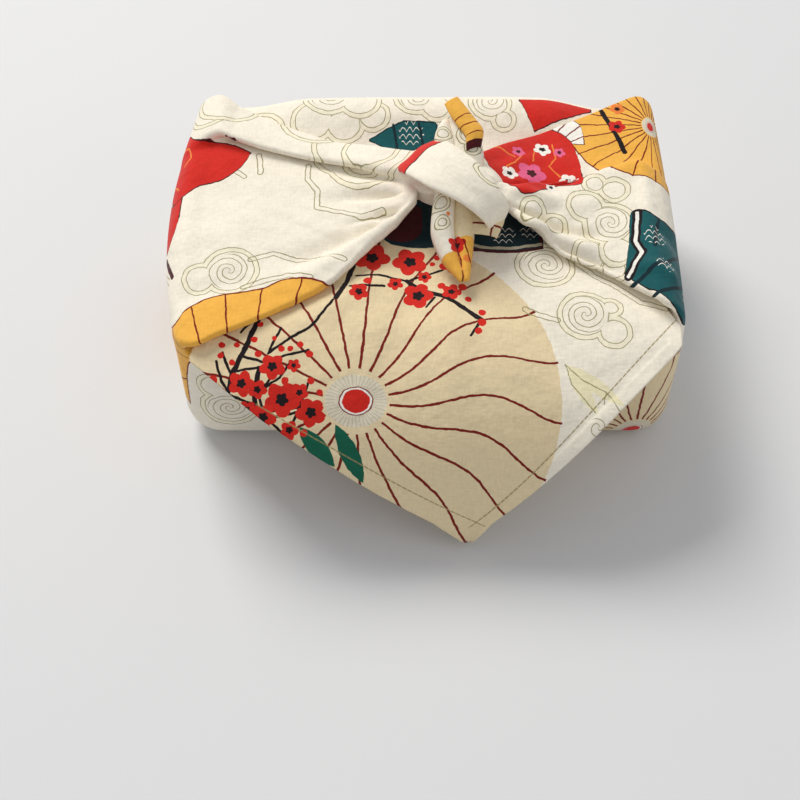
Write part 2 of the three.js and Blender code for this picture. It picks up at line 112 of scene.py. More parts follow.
class Path:
    """A flat path of pieces, each a length and a turn in degrees (left turns are positive)."""

    def __init__(self, start: tuple[float, float], heading: float,
                 pieces: Sequence[tuple[float, float]]) -> None:
        """Lay the pieces end to end.

        Args:
            start: First point.
            heading: First direction, in degrees.
            pieces: (length, turn in degrees) of each piece.
        """
        x, y, angle = start[0], start[1], math.radians(heading)
        self.knots = [(0.0, x, y, angle, 1.0, 0.0)]
        for length, turn in pieces:
            at = self.knots[-1][0]
            self.knots[-1] = (at, x, y, angle, max(length, 1e-9), math.radians(turn))
            x, y, angle = self._step(self.knots[-1], length)
            self.knots.append((at + length, x, y, angle, 1.0, 0.0))
        self.length = self.knots[-1][0]

    @staticmethod
    def _step(knot: tuple[float, ...], distance: float) -> tuple[float, float, float]:
        """Go a distance along one piece.

        Args:
            knot: The piece's start, heading, length and turn.
            distance: How far to go.

        Returns:
            (x, y, heading in radians).
        """
        _, x, y, angle, length, turn = knot
        turned = turn * distance / length
        if abs(turned) < 1e-9:
            return x + distance * math.cos(angle), y + distance * math.sin(angle), angle
        radius = distance / turned
        end = angle + turned
        return (x + radius * (math.sin(end) - math.sin(angle)),
                y - radius * (math.cos(end) - math.cos(angle)), end)

    def at(self, distance: float) -> tuple[float, float, float]:
        """Find a place on the path.

        Args:
            distance: How far it lies from the start.

        Returns:
            (x, y, heading in radians).
        """
        d = min(max(distance, 0.0), self.length)
        i = 0
        while i < len(self.knots) - 2 and self.knots[i + 1][0] <= d:
            i += 1
        return self._step(self.knots[i], d - self.knots[i][0])

    def stations(self, steps: Sequence[int]) -> list[float]:
        """Share each piece out in its own number of steps.

        Args:
            steps: Number of steps in each piece.

        Returns:
            Distances of all marks from the start.
        """
        marks = [0.0]
        for i, count in enumerate(steps):
            low, high = self.knots[i][0], self.knots[i + 1][0]
            marks += [low + k / count * (high - low) for k in range(1, count + 1)]
        return marks


@dataclass(frozen=True)
class Fold:
    """A soft ridge or trough in a panel, placed in the panel's own millimetres.

    Attributes:
        start: Where it begins.
        end: Where it ends.
        height: Its height, negative for a trough.
        width: Its half width at the start and at the end.
        fade: Shares of its length over which it rises and dies away.
    """

    start: tuple[float, float]
    end: tuple[float, float]
    height: float
    width: tuple[float, float] = (3.0, 3.0)
    fade: tuple[float, float] = (0.2, 0.3)

    def relief(self, u: Array, v: Array) -> Array:
        """Work out the fold's height at each point.

        Args:
            u: First flat coordinates.
            v: Second flat coordinates.

        Returns:
            Heights in millimetres.
        """
        run = np.array(self.end) - np.array(self.start)
        length = float(np.hypot(*run))
        du, dv = u - self.start[0], v - self.start[1]
        along = (du * run[0] + dv * run[1]) / length**2
        aside = (dv * run[0] - du * run[1]) / length
        width = np.interp(along, (0, 1), self.width)
        ends = smoothstep(0, self.fade[0], along) * (1 - smoothstep(1 - self.fade[1], 1, along))
        return self.height * np.exp(-((aside / width) ** 2)) * ends


@dataclass
class Panel:
    """A sheet of cloth as a grid of points with its own flat coordinates, in millimetres.

    Attributes:
        name: The panel's name.
        points: Places, rows by columns by 3.
        flat: Flat coordinates, rows by columns by 2.
        hem: How much of a hem's thickness each point has, from 0 to 1.
        closed: Whether the first and last column are the same line.
    """

    name: str
    points: Array
    flat: Array
    hem: Array
    closed: bool = False

    def normals(self) -> Array:
        """Work out which way the cloth faces.

        Returns:
            The unit normal at each point.
        """
        across = np.gradient(self.points, axis=1)
        if self.closed:
            across[:, 0] = across[:, -1] = self.points[:, 1] - self.points[:, -2]
        along = np.gradient(self.points, axis=0)
        normal = np.cross(across, along)
        return normal / np.maximum(np.linalg.norm(normal, axis=2, keepdims=True), 1e-9)

    def raise_by(self, relief: Array) -> None:
        """Move each point along its normal by a height in millimetres."""
        self.points = self.points + self.normals() * relief[..., None]

    def fold(self, folds: Sequence[Fold]) -> None:
        """Press soft folds into the panel.

        Args:
            folds: The folds, placed by the panel's flat coordinates.
        """
        relief = np.zeros(self.flat.shape[:2])
        for fold in folds:
            relief += fold.relief(self.flat[..., 0], self.flat[..., 1])
        self.raise_by(relief)


@dataclass
class BoxShape:
    """What the cloth is folded round: the few sizes that every panel is worked out from.

    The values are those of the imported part's source.

    Attributes:
        pitch: Distance between two layers of cloth.
        floor_level: Level of the bottom layer.
        near_flap_level: Level of the corner folded in first.
        wall_y: Front and back walls, from the middle.
        foot: Radius of their lower edges.
        rim: Radius of their upper edges.
        strip_flat: Half width of the strip's flat middle.
        strip_curl: Radius of its sides, where they turn in.
        wing_wall_x: End walls, from the middle.
        wing_corner_y: Where the end walls begin to turn their corners.
        wing_corner: Radius of those corners.
        wing_foot: Radius of the end walls' lower edges.
        wing_turn: Radius of a wing's turned edges and pleats.
        corner_y: Where the hanging corner begins to bend down.
        corner_radius: Radius of its bend.
        corner_turn: How far it bends, in degrees.
        corner_tilt: How far it tips over the edge before that, in degrees.
        hem: Width of the hem.
    """

    pitch: float = 2.4
    floor_level: float = 0.5
    near_flap_level: float = 59.2
    wall_y: float = 59.5
    foot: float = 12.0
    rim: float = 7.0
    strip_flat: float = 77.5
    strip_curl: float = 10.8
    wing_wall_x: float = 91.5
    wing_corner_y: float = 48.7
    wing_corner: float = 14.0
    wing_foot: float = 11.0
    wing_turn: float = 1.0
    corner_y: float = -52.0
    corner_radius: float = 61.3
    corner_turn: float = 80.4
    corner_tilt: float = 5.5
    hem: float = 4.7

    @property
    def far_flap_level(self) -> float:
        """Level of the top panel, one layer above the corner folded in first."""
        return self.near_flap_level + self.pitch


@dataclass
class Strip:
    """The lengthwise strip: first corner, front wall, bottom, back wall, top and hanging corner.

    Attributes:
        box: Sizes of the box shape.
        near_run: How far the first corner lies over the top.
        near_return: How far its tip is turned back under it.
        turned_in: Half width where the strip's sides are turned in at the box shape's corners.
        columns: Steps across the strip.
        hem_marks: Distances from the edge at which the hem's section is drawn.
        hem_ripple: Height of the hem's puckers.
        curl_fades: Distances from the middle between which the turned-in sides open out.
        sag: Heights of the two soft waves where the cloth lies free.
        sag_share: How much of them is left.
        steps: Steps in each piece of the path.
        folds: Soft folds pressed into it.
        path: The strip's line, from the first corner's tip to the hanging corner's tip.
        edges: The strip's left and right edge along that line.
    """

    box: BoxShape
    near_run: float = 103.0
    near_return: float = 94.0
    turned_in: float = 130.0
    columns: int = 84
    hem_marks: tuple[float, ...] = (0.0, 0.5, 1.4, 3.6, 4.3, 4.7, 5.1, 5.9)
    hem_ripple: float = 0.12
    curl_fades: tuple[float, float] = (100.0, 122.0)
    sag: tuple[float, float] = (0.5, 0.35)
    sag_share: float = 0.6
    steps: tuple[int, ...] = (13, 4, 22, 8, 16, 7, 6, 6, 7, 18, 9, 54, 2, 57)
    folds: tuple[Fold, ...] = ()
    path: Path = field(init=False)
    edges: Table = field(init=False)

    def __post_init__(self) -> None:
        """Lay out the path from the first corner's tip to the hanging corner's tip."""
        b = self.box
        arc = math.pi / 180
        near = [(self.near_return, 0), (math.pi * b.pitch / 2, 180), (self.near_run, 0),
                (90 * arc * b.rim, 90), (b.near_flap_level - b.rim - b.foot - b.floor_level, 0),
                (90 * arc * b.foot, 90), (b.wall_y - b.foot, 0)]
        far = [(b.wall_y - b.foot, 0), (90 * arc * b.foot, 90),
               (b.far_flap_level - b.rim - b.foot - b.floor_level, 0), (90 * arc * b.rim, 90),
               (b.wall_y - b.rim - b.corner_y, 0), (b.corner_tilt * arc * 20, b.corner_tilt),
               (b.corner_turn * arc * b.corner_radius, b.corner_turn)]
        tip = (-(b.wall_y - b.rim) + self.near_run - self.near_return, b.near_flap_level - b.pitch)
        self.path = Path(tip, 0, near + far)
        self.middle = self.path.knots[len(near)][0]
        self.top_start = self.path.knots[len(near) + 4][0]
        self.corner_mark = self.path.knots[len(near) + 5][0] - self.middle
        m = self.corner_mark
        dart = self.turned_in
        self.edges = Table(
            "at left right",
            (-self.middle, -9, 9),
            (-self.middle + self.near_return - 8, -80, 80),
            (-122, -86, 86),
            (-106, -88, 88),
            (-98, -dart, dart),
            (-62, -dart, dart),
            (-52, -88, 88),
            (52, -88, 88),
            (62, -dart, dart),
            (98, -dart, dart),
            (106, -88, 88),
            (122, -84, 84),
            (m - 4, -80, 84),
            (m + 4, -80, 88),
            (m + 11.5, -82, 88),
            (m + 16.7, -83.6, 83.4),
            (m + 37.6, -58.1, 62.6),
            (m + 58.5, -27.6, 41.5),
            (m + 77.2, 1.5, 22.8),
            (m + 87.9, 12.5, 16),
        )

    def row(self, distance: float) -> tuple[Array, Array, Array]:
        """Work out one row of points.

        Args:
            distance: How far along the path the row lies.

        Returns:
            Places, flat coordinates and hem thickness of the row's points.
        """
        b = self.box
        along = distance - self.middle
        left, right = self.edges.linear("left", along), self.edges.linear("right", along)
        lean = [abs(self.edges.linear(side, along + 1) - self.edges.linear(side, along - 1)) / 2
                for side in ("left", "right")]
        marks = np.array(self.hem_marks)
        wide = [min(math.hypot(1, lean[k]), 0.4 * (right - left) / marks[-1]) for k in (0, 1)]
        inner = np.linspace(left + marks[-1] * wide[0], right - marks[-1] * wide[1],
                            self.columns + 1 - 2 * (len(marks) - 1))
        across = np.concatenate((left + marks[:-1] * wide[0], inner,
                                 right - marks[-2::-1] * wide[1]))
        to_edge = np.minimum((across - left) / wide[0], (right - across) / wide[1])
        hem = (1 - smoothstep(b.hem - 0.3, b.hem + 0.3, to_edge))
        hem = hem * float(smoothstep(self.corner_mark, self.corner_mark + 6, along))

        curl = 1 - float(smoothstep(*self.curl_fades, abs(along)))
        beyond = np.maximum(np.abs(across) - b.strip_flat, 0) / b.strip_curl
        bend = np.minimum(beyond, math.pi / 2)
        x = np.sign(across) * (np.minimum(np.abs(across), b.strip_flat)
                               + b.strip_curl * (curl * np.sin(bend) + (1 - curl) * beyond))
        spot_y, spot_z, heading = self.path.at(distance)
        off_floor = float(smoothstep(b.wall_y, b.wall_y + 30, abs(along)))
        on_top = float(smoothstep(112, 130, along)
                       * (1 - smoothstep(self.corner_mark, self.corner_mark + 20, along)))
        sag = self.sag[0] * np.sin(x / 17 + along / 29) + self.sag[1] * np.sin(x / 9 - along / 23)
        wave = sag * off_floor * (1 - on_top) * float(smoothstep(-124, -112, along))
        depth = (curl * b.strip_curl * (1 - np.cos(bend) + beyond - bend)
                 + self.sag_share * wave * np.maximum(1 - curl * beyond, 0))
        y = spot_y - depth * math.sin(heading)
        z = spot_z + depth * math.cos(heading)
        flat_y = np.full_like(across, self.flat_y(distance))
        return np.stack((x, y, z), 1), np.stack((across, flat_y), 1), hem

    def flat_y(self, distance: float) -> float:
        """Flat coordinate along the strip, which is the true Y on the top panel."""
        return self.box.wall_y - self.box.rim - (distance - self.top_start)

    def build(self) -> Panel:
        """Build the strip.

        Returns:
            The strip as one panel.
        """
        rows = [self.row(d) for d in self.path.stations(self.steps)]
        points, flat, hem = (np.stack(part)[:, ::-1] for part in zip(*rows))
        panel = Panel("strip", points, flat, hem)
        panel.fold(self.folds)
        ripple = np.sin(flat[..., 1] / 1.9 + flat[..., 0] / 6) * np.sin(flat[..., 0] / 2.3)
        panel.raise_by(self.hem_ripple * hem * ripple)
        return panel


WING_COLUMNS = ("at farX farY farZ nearX nearY nearZ tilt farBend farTurn farRun "
                "nearBend nearTurn nearRun crease pleat tuck ripple bulge")


@dataclass
class Wing:
    """A wing: from under the bottom up the end wall, over the rim and along the top to the knot.

    Attributes:
        box: Sizes of the box shape.
        side: -1 on the left, 1 on the right.
        far_on_top: Whether the band at the far edge lies over the near one.
        bulge: How far the end wall swells out.
        rows: Sections above the wall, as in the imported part's source.
        folds: Soft folds pressed into it.
        row_steps: (first row, last row, steps) of each stretch.
        column_steps: Steps in each piece of a section.
        wall_levels: Levels of the wall's rows above its foot.
        wall_run: Length of the straight ends of the wall's sections, the far and the near one.
        sink: How deep the upper layer sinks away from its crease.
        gathers: Gathers a millimetre, where the far and where the near layer is on top.
    """

    box: BoxShape
    side: int
    far_on_top: bool
    bulge: float
    rows: tuple[tuple[float, ...], ...]
    folds: tuple[Fold, ...] = ()
    row_steps: tuple[tuple[float, float, int], ...] = (
        (-0.5, 0, 1), (0, 1, 9), (1, 3, 14), (3, 4.5, 26), (4.5, 6, 22), (6, 11, 40))
    column_steps: tuple[int, ...] = (3, 12, 14, 7, 3, 7, 42, 12, 3)
    wall_levels: tuple[float, float] = (26.0, 42.0)
    wall_run: tuple[float, float] = (10.0, 34.0)
    sink: float = 3.2
    gathers: tuple[float, float] = (0.72, 0.66)

    def __post_init__(self) -> None:
        """Put the wall's rows before the given ones."""
        b = self.box
        half_turn = math.pi * b.wing_turn
        wall = [(-0.5, b.strip_flat - 3, b.floor_level + 0.9, 1, 41.3, 2)]
        for step in range(5):
            angle = step / 4 * math.pi / 2
            inward = b.wing_foot * (1 - math.sin(angle))
            height = b.floor_level + b.wing_foot * (1 - math.cos(angle))
            wall.append((step / 4, b.wing_wall_x - inward, height, b.wing_corner - inward,
                         b.wing_corner_y, self.wall_run[0]))
        wall += [(at, b.wing_wall_x, level, b.wing_corner, b.wing_corner_y, self.wall_run[0])
                 for at, level in zip((2, 3), self.wall_levels)]
        rows = [(at, x, y, z, x, -y, z, 0, radius * math.pi / 2, 90, run, radius * math.pi / 2, 90,
                 self.wall_run[1] / self.wall_run[0] * run, 0.2, 0, 3, 0, self.bulge * max(at, 0) / 3)
                for at, x, z, radius, y, run in wall]
        rows += [tuple(half_turn if value is None else value for value in row) for row in self.rows]
        self.table = Table(WING_COLUMNS, *rows)

    def section(self, value: Callable[[str], float], width: float) -> Path:
        """Lay out one section in its own plane: x across, y out of the cloth.

        Args:
            value: Reads a column of the table at this row.
            width: Length of the section's straight part.

        Returns:
            The section, its straight part starting at the far end.
        """
        half_turn = math.pi * self.box.wing_turn
        fold = 180 * value("pleat") * (-1 if self.far_on_top else 1)
        crease = value("crease") * width
        first = crease if self.far_on_top else crease + value("tuck")
        pleat = [(first, 0), (half_turn, fold), (value("tuck"), 0), (half_turn, -fold)]
        drift = Path((0, 0), 0, pleat)
        start = drift.at(drift.length)
        lead = Path((0, 0), 0, [(value("farRun"), 0), (value("farBend"), -value("farTurn"))])
        end_x, end_y, end_heading = lead.at(lead.length)
        c, s = math.cos(-end_heading), math.sin(-end_heading)
        origin = (-(end_x * c - end_y * s),
                  -(end_x * s + end_y * c) - (start[1] if self.far_on_top else 0))
        return Path(origin, math.degrees(-end_heading), [
            (value("farRun"), 0), (value("farBend"), -value("farTurn")), *pleat,
            (max(width - start[0], 0.01), 0), (value("nearBend"), -value("nearTurn")),
            (value("nearRun"), 0)])

    def relief(self, value: Callable[[str], float], width: float, across: Array) -> Array:
        """Work out the height over the section's plane.

        The upper layer sinks outward from its crease, and the gathers run to the knot.

        Args:
            value: Reads a column of the table at this row.
            width: Length of the section's straight part.
            across: Places along the section.

        Returns:
            Heights in millimetres.
        """
        t = np.clip(across / width, 0, 1)
        crease = value("crease")
        outward = (crease - t) / crease if self.far_on_top else (t - crease) / (1 - crease)
        sink = self.sink * value("pleat") * np.clip(outward, 0, 1) ** 1.5
        gathers = np.sin(across * self.gathers[0 if self.far_on_top else 1] + 1.1)
        return value("ripple") * gathers + value("bulge") * 4 * t * (1 - t) - sink

    def row(self, at: float) -> tuple[Array, Array]:
        """Work out one row of points.

        Args:
            at: The row's place in the table.

        Returns:
            Places, and the flat coordinate across the wing.
        """
        read = self.table.linear if at < 3 else self.table.smooth

        def value(name: str) -> float:
            """Read one column of this row."""
            return read(name, at)

        far = np.array((self.side * value("farX"), value("farY"), value("farZ")))
        near = np.array((self.side * value("nearX"), value("nearY"), value("nearZ")))
        along = near - far
        width = float(np.linalg.norm(along))
        along = along / width
        tilt = math.radians(value("tilt"))
        out = np.array((self.side * math.cos(tilt), 0, math.sin(tilt)))
        out = out - (out @ along) * along
        out = out / np.linalg.norm(out)
        section = self.section(value, width)
        marks = section.stations(self.column_steps)
        spots = np.array([section.at(mark)[:2] for mark in marks])
        height = spots[:, 1] + self.relief(value, width, spots[:, 0])
        points = far + spots[:, :1] * along + height[:, None] * out
        start, end = section.knots[2][0], section.knots[7][0]
        before, after = np.minimum(np.array(marks) - start, 0), np.maximum(np.array(marks) - end, 0)
        flat_y = np.clip(points[:, 1], near[1], far[1]) - before - after
        return points, flat_y

    def build(self) -> Panel:
        """Build the wing.

        Returns:
            The wing as one panel, its flat coordinates run out from the knot.
        """
        marks = [self.row_steps[0][0]]
        for low, high, count in self.row_steps:
            marks += [low + k / count * (high - low) for k in range(1, count + 1)]
        rows = [self.row(at) for at in marks]
        points = np.stack([places for places, _ in rows])
        flat_y = np.stack([values for _, values in rows])
        middle = points[:, points.shape[1] // 2]
        run = np.concatenate(((0,), np.cumsum(np.linalg.norm(np.diff(middle, axis=0), axis=1))))
        top = int(np.searchsorted(marks, 4.5))
        along = abs(middle[top, 0]) + run[top] - run
        flat_x = np.where((np.array(marks) > 4.5)[:, None], np.abs(points[..., 0]), along[:, None])
        flat = np.stack((self.side * flat_x, flat_y), 2)
        if self.side > 0:
            points, flat = points[:, ::-1], flat[:, ::-1]
        panel = Panel("wing", points, flat, np.zeros(flat.shape[:2]))
        panel.fold(self.folds)
        return panel


@dataclass
class Knot:
    """The knot: a gathered core where both wings meet, with a flat band folded over it.

    Attributes:
        middle: Middle of the knot.
        band_reach: Half length of the oval that the band follows.
        band_height: Half height of that oval.
        band_half_thickness: Half the band's thickness.
        band_heading: Which way it runs over the knot, in degrees.
        band_columns: Steps round the band.
        band_steps: Steps along it.
        band_corners: How full its section is, across and through.
        band_ridge: Height of its soft ridges.
        band_cloth: Cloth along the band for each row of its sections.
        band_sections: at, angle on the oval, width, shift sideways, lift of the middle.
        core_reach: Half the core's size along X, Y and Z.
        core_shift: Its middle, from the knot's.
        core_ridges: (height, number of ridges, twist) of each set.
        core_droop: How far its ends hang down.
        core_segments: Segments and rings of the ball it is shaped from.
        core_cloth: Side of the square of cloth that it shows.
    """

    middle: tuple[float, float, float] = (11.0, -2.0, 77.0)
    band_reach: float = 20.5
    band_height: float = 10.5
    band_half_thickness: float = 1.5
    band_heading: float = -43.0
    band_columns: int = 48
    band_steps: int = 72
    band_corners: tuple[float, float] = (0.7, 0.8)
    band_ridge: float = 0.35
    band_cloth: float = 3.6
    band_sections: tuple[tuple[float, ...], ...] = (
        (0, -35, 9, -1, 0), (2, 0, 12, -2, 0), (5, 52, 16, -4, 0.5), (8, 92, 21.5, -4.8, 1),
        (11, 128, 22.5, -3.6, 0.5), (14, 168, 19, -1, 0), (16, 215, 13, 0, 0))
    core_reach: tuple[float, float, float] = (17.0, 9.5, 7.0)
    core_shift: tuple[float, float, float] = (0.0, 2.0, -1.0)
    core_ridges: tuple[tuple[float, int, int], ...] = ((0.1, 5, 2), (0.04, 11, -3))
    core_droop: float = 2.5
    core_segments: tuple[int, int] = (80, 48)
    core_cloth: float = 50.0

    def band(self) -> Panel:
        """Build the band as a closed flattened tube over the knot.

        Returns:
            The band as one closed panel.
        """
        table = Table("at angle width shift lift", *self.band_sections)
        heading = math.radians(self.band_heading)
        along = np.array((math.cos(heading), math.sin(heading), 0))
        aside = np.array((-math.sin(heading), math.cos(heading), 0))
        up = np.array((0, 0, 1.0))
        around = np.linspace(0, 2 * math.pi, self.band_columns + 1)
        lateral = np.sign(np.cos(around)) * np.abs(np.cos(around)) ** self.band_corners[0]
        normal = np.sign(np.sin(around)) * np.abs(np.sin(around)) ** self.band_corners[1]
        points, flat = [], []
        for row in np.linspace(0, table.at[-1], self.band_steps + 1):
            angle = math.radians(table.smooth("angle", row))
            half = table.smooth("width", row) / 2
            lift = table.smooth("lift", row) * (1 - lateral**2)
            out = math.cos(angle) / self.band_reach * along + math.sin(angle) / self.band_height * up
            out = out / np.linalg.norm(out)
            middle = (np.array(self.middle) - 0.5 * up + table.smooth("shift", row) * aside
                      + self.band_reach * math.cos(angle) * along
                      + self.band_height * math.sin(angle) * up)
            ridges = self.band_ridge * np.sin(lateral * 4.5 + 0.5) * np.maximum(normal, 0)
            height = self.band_half_thickness * normal + lift + ridges
            points.append(middle + half * lateral[:, None] * aside + height[:, None] * out)
            flat.append(np.stack((half * lateral, np.full_like(around, row * self.band_cloth)), 1))
        return Panel("band", np.stack(points), np.stack(flat), np.zeros((len(points), len(around))),
                     closed=True)

    def core_place(self, point: Vector) -> Vector:
        """Move a point of a unit ball to the core with its ridges.

        Args:
            point: A point of the ball, whose poles are on Z.

        Returns:
            Its place on the core, whose length runs along X.
        """
        along, waist = point.z, math.hypot(point.x, point.y)
        angle = math.atan2(point.y, point.x)
        ridges = sum(height * math.sin(number * angle + twist * along)
                     for height, number, twist in self.core_ridges)
        radius = waist * (1 + ridges * waist)
        reach_x, reach_y, reach_z = self.core_reach
        place = Vector((-along * reach_x, reach_y * radius * math.cos(angle),
                        reach_z * radius * math.sin(angle) - self.core_droop * along**2))
        return place + Vector(self.middle) + Vector(self.core_shift)

    def dress_band(self, finish: bpy.types.Material) -> bpy.types.Object:
        """Make the band's piece, with its ends closed.

        Args:
            finish: Its printed cotton.

        Returns:
            The piece.
        """
        bm = bmesh.new()
        add_panel(bm, self.band(), lambda x, y: 0)
        bmesh.ops.holes_fill(bm, edges=[edge for edge in bm.edges if edge.is_boundary], sides=0)
        return finished(bm, "knot_band", [finish])

    def dress_core(self, finish: bpy.types.Material) -> bpy.types.Object:
        """Make the core's piece.

        Args:
            finish: Its printed cotton.

        Returns:
            The piece.
        """
        bm = bmesh.new()
        weave = bm.loops.layers.uv.new("flat")
        bmesh.ops.create_uvsphere(bm, u_segments=self.core_segments[0],
                                  v_segments=self.core_segments[1], radius=1, calc_uvs=True)
        for vert in bm.verts:
            vert.co = (self.core_place(vert.co) + Vector(FRAME_SHIFT)) * MM
        for face in bm.faces:
            face.smooth = True
            for loop in face.loops:
                loop[weave].uv *= self.core_cloth * MM
        bmesh.ops.recalc_face_normals(bm, faces=bm.faces)
        return finished(bm, "knot_core", [finish])


@dataclass
class Leaf:
    """A free end of the cloth: a leaf folded along its middle, from inside the knot to its tip.

    Attributes:
        name: The leaf's name.
        rows: at, x, y, z of the middle line, half width, height of the lobes, turn in degrees.
        lobes: (middle, half width, share of the height) of each lobe, in shares of the half width.
        columns: Steps across it.
        steps: Steps along it.
    """

    name: str
    rows: tuple[tuple[float, ...], ...]
    lobes: tuple[tuple[float, float, float], ...]
    columns: int = 36
    steps: int = 36

    def build(self) -> Panel:
        """Build the leaf.

        Returns:
            The leaf as one panel.
        """
        table = Table("at x y z half fold turn", *self.rows)
        share = np.linspace(-1, 1, self.columns + 1)
        lobe = np.zeros_like(share)
        for middle, half, height in self.lobes:
            hump = np.sqrt(np.clip(1 - ((share - middle) / half) ** 2, 0, 1))
            lobe = np.maximum(lobe, height * hump)
        points, flat = [], []
        last = table.at[-1]
        for row in np.linspace(0, last, self.steps + 1):
            x, y, z, half, fold, turn = (table.smooth(name, row) for name in
                                         ("x", "y", "z", "half", "fold", "turn"))
            turn = math.radians(turn)
            across = share * half
            points.append(np.stack((x + across * math.cos(turn), y + across * math.sin(turn),
                                    z + fold * (lobe - 0.5)), 1))
            flat.append(across)
        run = np.linalg.norm(np.diff([row.mean(axis=0) for row in points], axis=0), axis=1)
        run = np.concatenate(((0,), np.cumsum(run)))
        flat = [np.stack((across, np.full_like(across, at)), 1) for across, at in zip(flat, run)]
        return Panel(self.name, np.stack(points)[:, ::-1], np.stack(flat)[:, ::-1],
                     np.zeros((len(points), len(share))))


def add_panel(bm: bmesh.types.BMesh, panel: Panel, finish: Callable[[float, float], int]) -> None:
    """Lay a grid in the mesh and move its points to the panel's places.

    Args:
        bm: The mesh to add to.
        panel: Places and flat coordinates.
        finish: Gives a face's material index by the flat coordinates of its middle.
    """
    rows, columns = panel.points.shape[:2]
    uv = bm.loops.layers.uv.get("flat") or bm.loops.layers.uv.new("flat")
    weight = bm.verts.layers.deform.verify()
    verts = bmesh.ops.create_grid(bm, x_segments=columns - 1, y_segments=rows - 1, size=1.0)["verts"]
    spot = {vert: (round((vert.co.y + 1) / 2 * (rows - 1)), round((vert.co.x + 1) / 2 * (columns - 1)))
            for vert in verts}
    for face in {face for vert in verts for face in vert.link_faces}:
        middle = sum(panel.flat[spot[vert]] for vert in face.verts) / len(face.verts)
        face.material_index = finish(*middle)
        face.smooth = True
        for loop in face.loops:
            loop[uv].uv = panel.flat[spot[loop.vert]] * MM
    for vert, place in spot.items():
        vert.co = (panel.points[place] + FRAME_SHIFT) * MM
        vert[weight][0] = float(panel.hem[place])
    if panel.closed:
        bmesh.ops.remove_doubles(bm, verts=verts, dist=1e-7)
    log.info("%s: %d by %d points", panel.name, rows, columns)


def finished(bm: bmesh.types.BMesh, name: str,
             materials: Sequence[bpy.types.Material]) -> bpy.types.Object:
    """Turn a mesh into a piece of the scene that rides on the part's body.

    Args:
        bm: The mesh, which is used up.
        name: The piece's name.
        materials: Its finishes, in the order of the faces' material indices.

    Returns:
        The piece.
    """
    data = bpy.data.meshes.new(name)
    bm.to_mesh(data)
    bm.free()
    for material in materials:
        data.materials.append(material)
    piece = bpy.data.objects.new(name, data)
    bpy.context.scene.collection.objects.link(piece)
    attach(piece, "root")
    log.info("%s: %d faces", name, len(data.polygons))
    return piece


class Ink(Enum):
    """Inks of the print, as the sRGB values they show in even light."""

    GROUND = (248, 240, 222)
    PALE = (245, 236, 196)
    SCROLL = (160, 152, 112)
    BEIGE = (235, 215, 174)
    HUB = (230, 220, 196)
    HUB_LINE = (190, 180, 156)
    RIB = (124, 26, 14)
    RED = (214, 38, 26)
    MAROON = (74, 12, 20)
    PINK = (236, 104, 146)
    ORANGE = (242, 134, 60)
    GOLD = (246, 184, 76)
    TEAL = (16, 88, 92)
    DEEP_TEAL = (8, 42, 50)
    GREEN = (14, 96, 72)
    BLACK = (26, 14, 18)
    WHITE = (250, 246, 236)
    THREAD = (160, 134, 78)

    @property
    def linear(self) -> tuple[float, float, float, float]:
        """Return the ink as linear light."""
        red, green, blue = (((part / 255 + 0.055) / 1.055) ** 2.4 for part in self.value)
        return red, green, blue, 1.0


class Number:
    """A number or a point worked out by a print's nodes, with plain arithmetic."""

    def __init__(self, sheet: "Print", socket: bpy.types.NodeSocket) -> None:
        """Keep the print and the socket that carries the number."""
        self.sheet, self.socket = sheet, socket

    def math(self, operation: str, *others: "Number | float", clamp: bool = False) -> "Number":
        """Put this number and others through a Math node.

        Args:
            operation: The node's operation.
            others: Its further inputs.
            clamp: Whether to keep the result between 0 and 1.

        Returns:
            The result.
        """
        node = self.sheet.node("ShaderNodeMath", self, *others)
        node.operation, node.use_clamp = operation, clamp
        return Number(self.sheet, node.outputs[0])

    def __add__(self, other: "Number | float") -> "Number":
        """Add."""
        return self.math("ADD", other)

    def __sub__(self, other: "Number | float") -> "Number":
        """Take away."""
        return self.math("SUBTRACT", other)

    def __mul__(self, other: "Number | float") -> "Number":
        """Multiply."""
        return self.math("MULTIPLY", other)

    def __abs__(self) -> "Number":
        """Drop the sign."""
        return self.math("ABSOLUTE")

    def least(self, *others: "Number | float") -> "Number":
        """Take the smallest: the union of shapes.

        Args:
            others: What to compare with.

        Returns:
            The smallest number.
        """
        value = self
        for other in others:
            value = value.math("MINIMUM", other)
        return value

    def most(self, *others: "Number | float") -> "Number":
        """Take the largest: what shapes have in common.

        Args:
            others: What to compare with.

        Returns:
            The largest number.
        """
        value = self
        for other in others:
            value = value.math("MAXIMUM", other)
        return value


Spot = tuple[float, float]


@dataclass(frozen=True)
class Weave:
    """Bare woven cotton.

    Attributes:
        slub_scale: Slubs a millimetre, across the thread.
        slub_stretch: The same along the thread, as a share.
        slub_shade: How much they darken the print.
        grain_scale: Grains a millimetre.
        grain_height: Height of the grain, as a share of the bump's depth.
        crease_scale: Soft creases a millimetre.
        crease_height: Their height, as a share of the bump's depth.
        bump_strength: Strength of the bump.
        bump_depth: Depth of the bump in millimetres.
        roughness: Roughness of the surface.
        specular: Its specular level.
        sheen: Its sheen.
    """

    slub_scale: float = 1.4
    slub_stretch: float = 0.22
    slub_shade: float = 0.16
    grain_scale: float = 2.6
    grain_height: float = 0.35
    crease_scale: float = 0.075
    crease_height: float = 9.0
    bump_strength: float = 0.8
    bump_depth: float = 0.2
    roughness: float = 0.92
    specular: float = 0.25
    sheen: float = 0.15


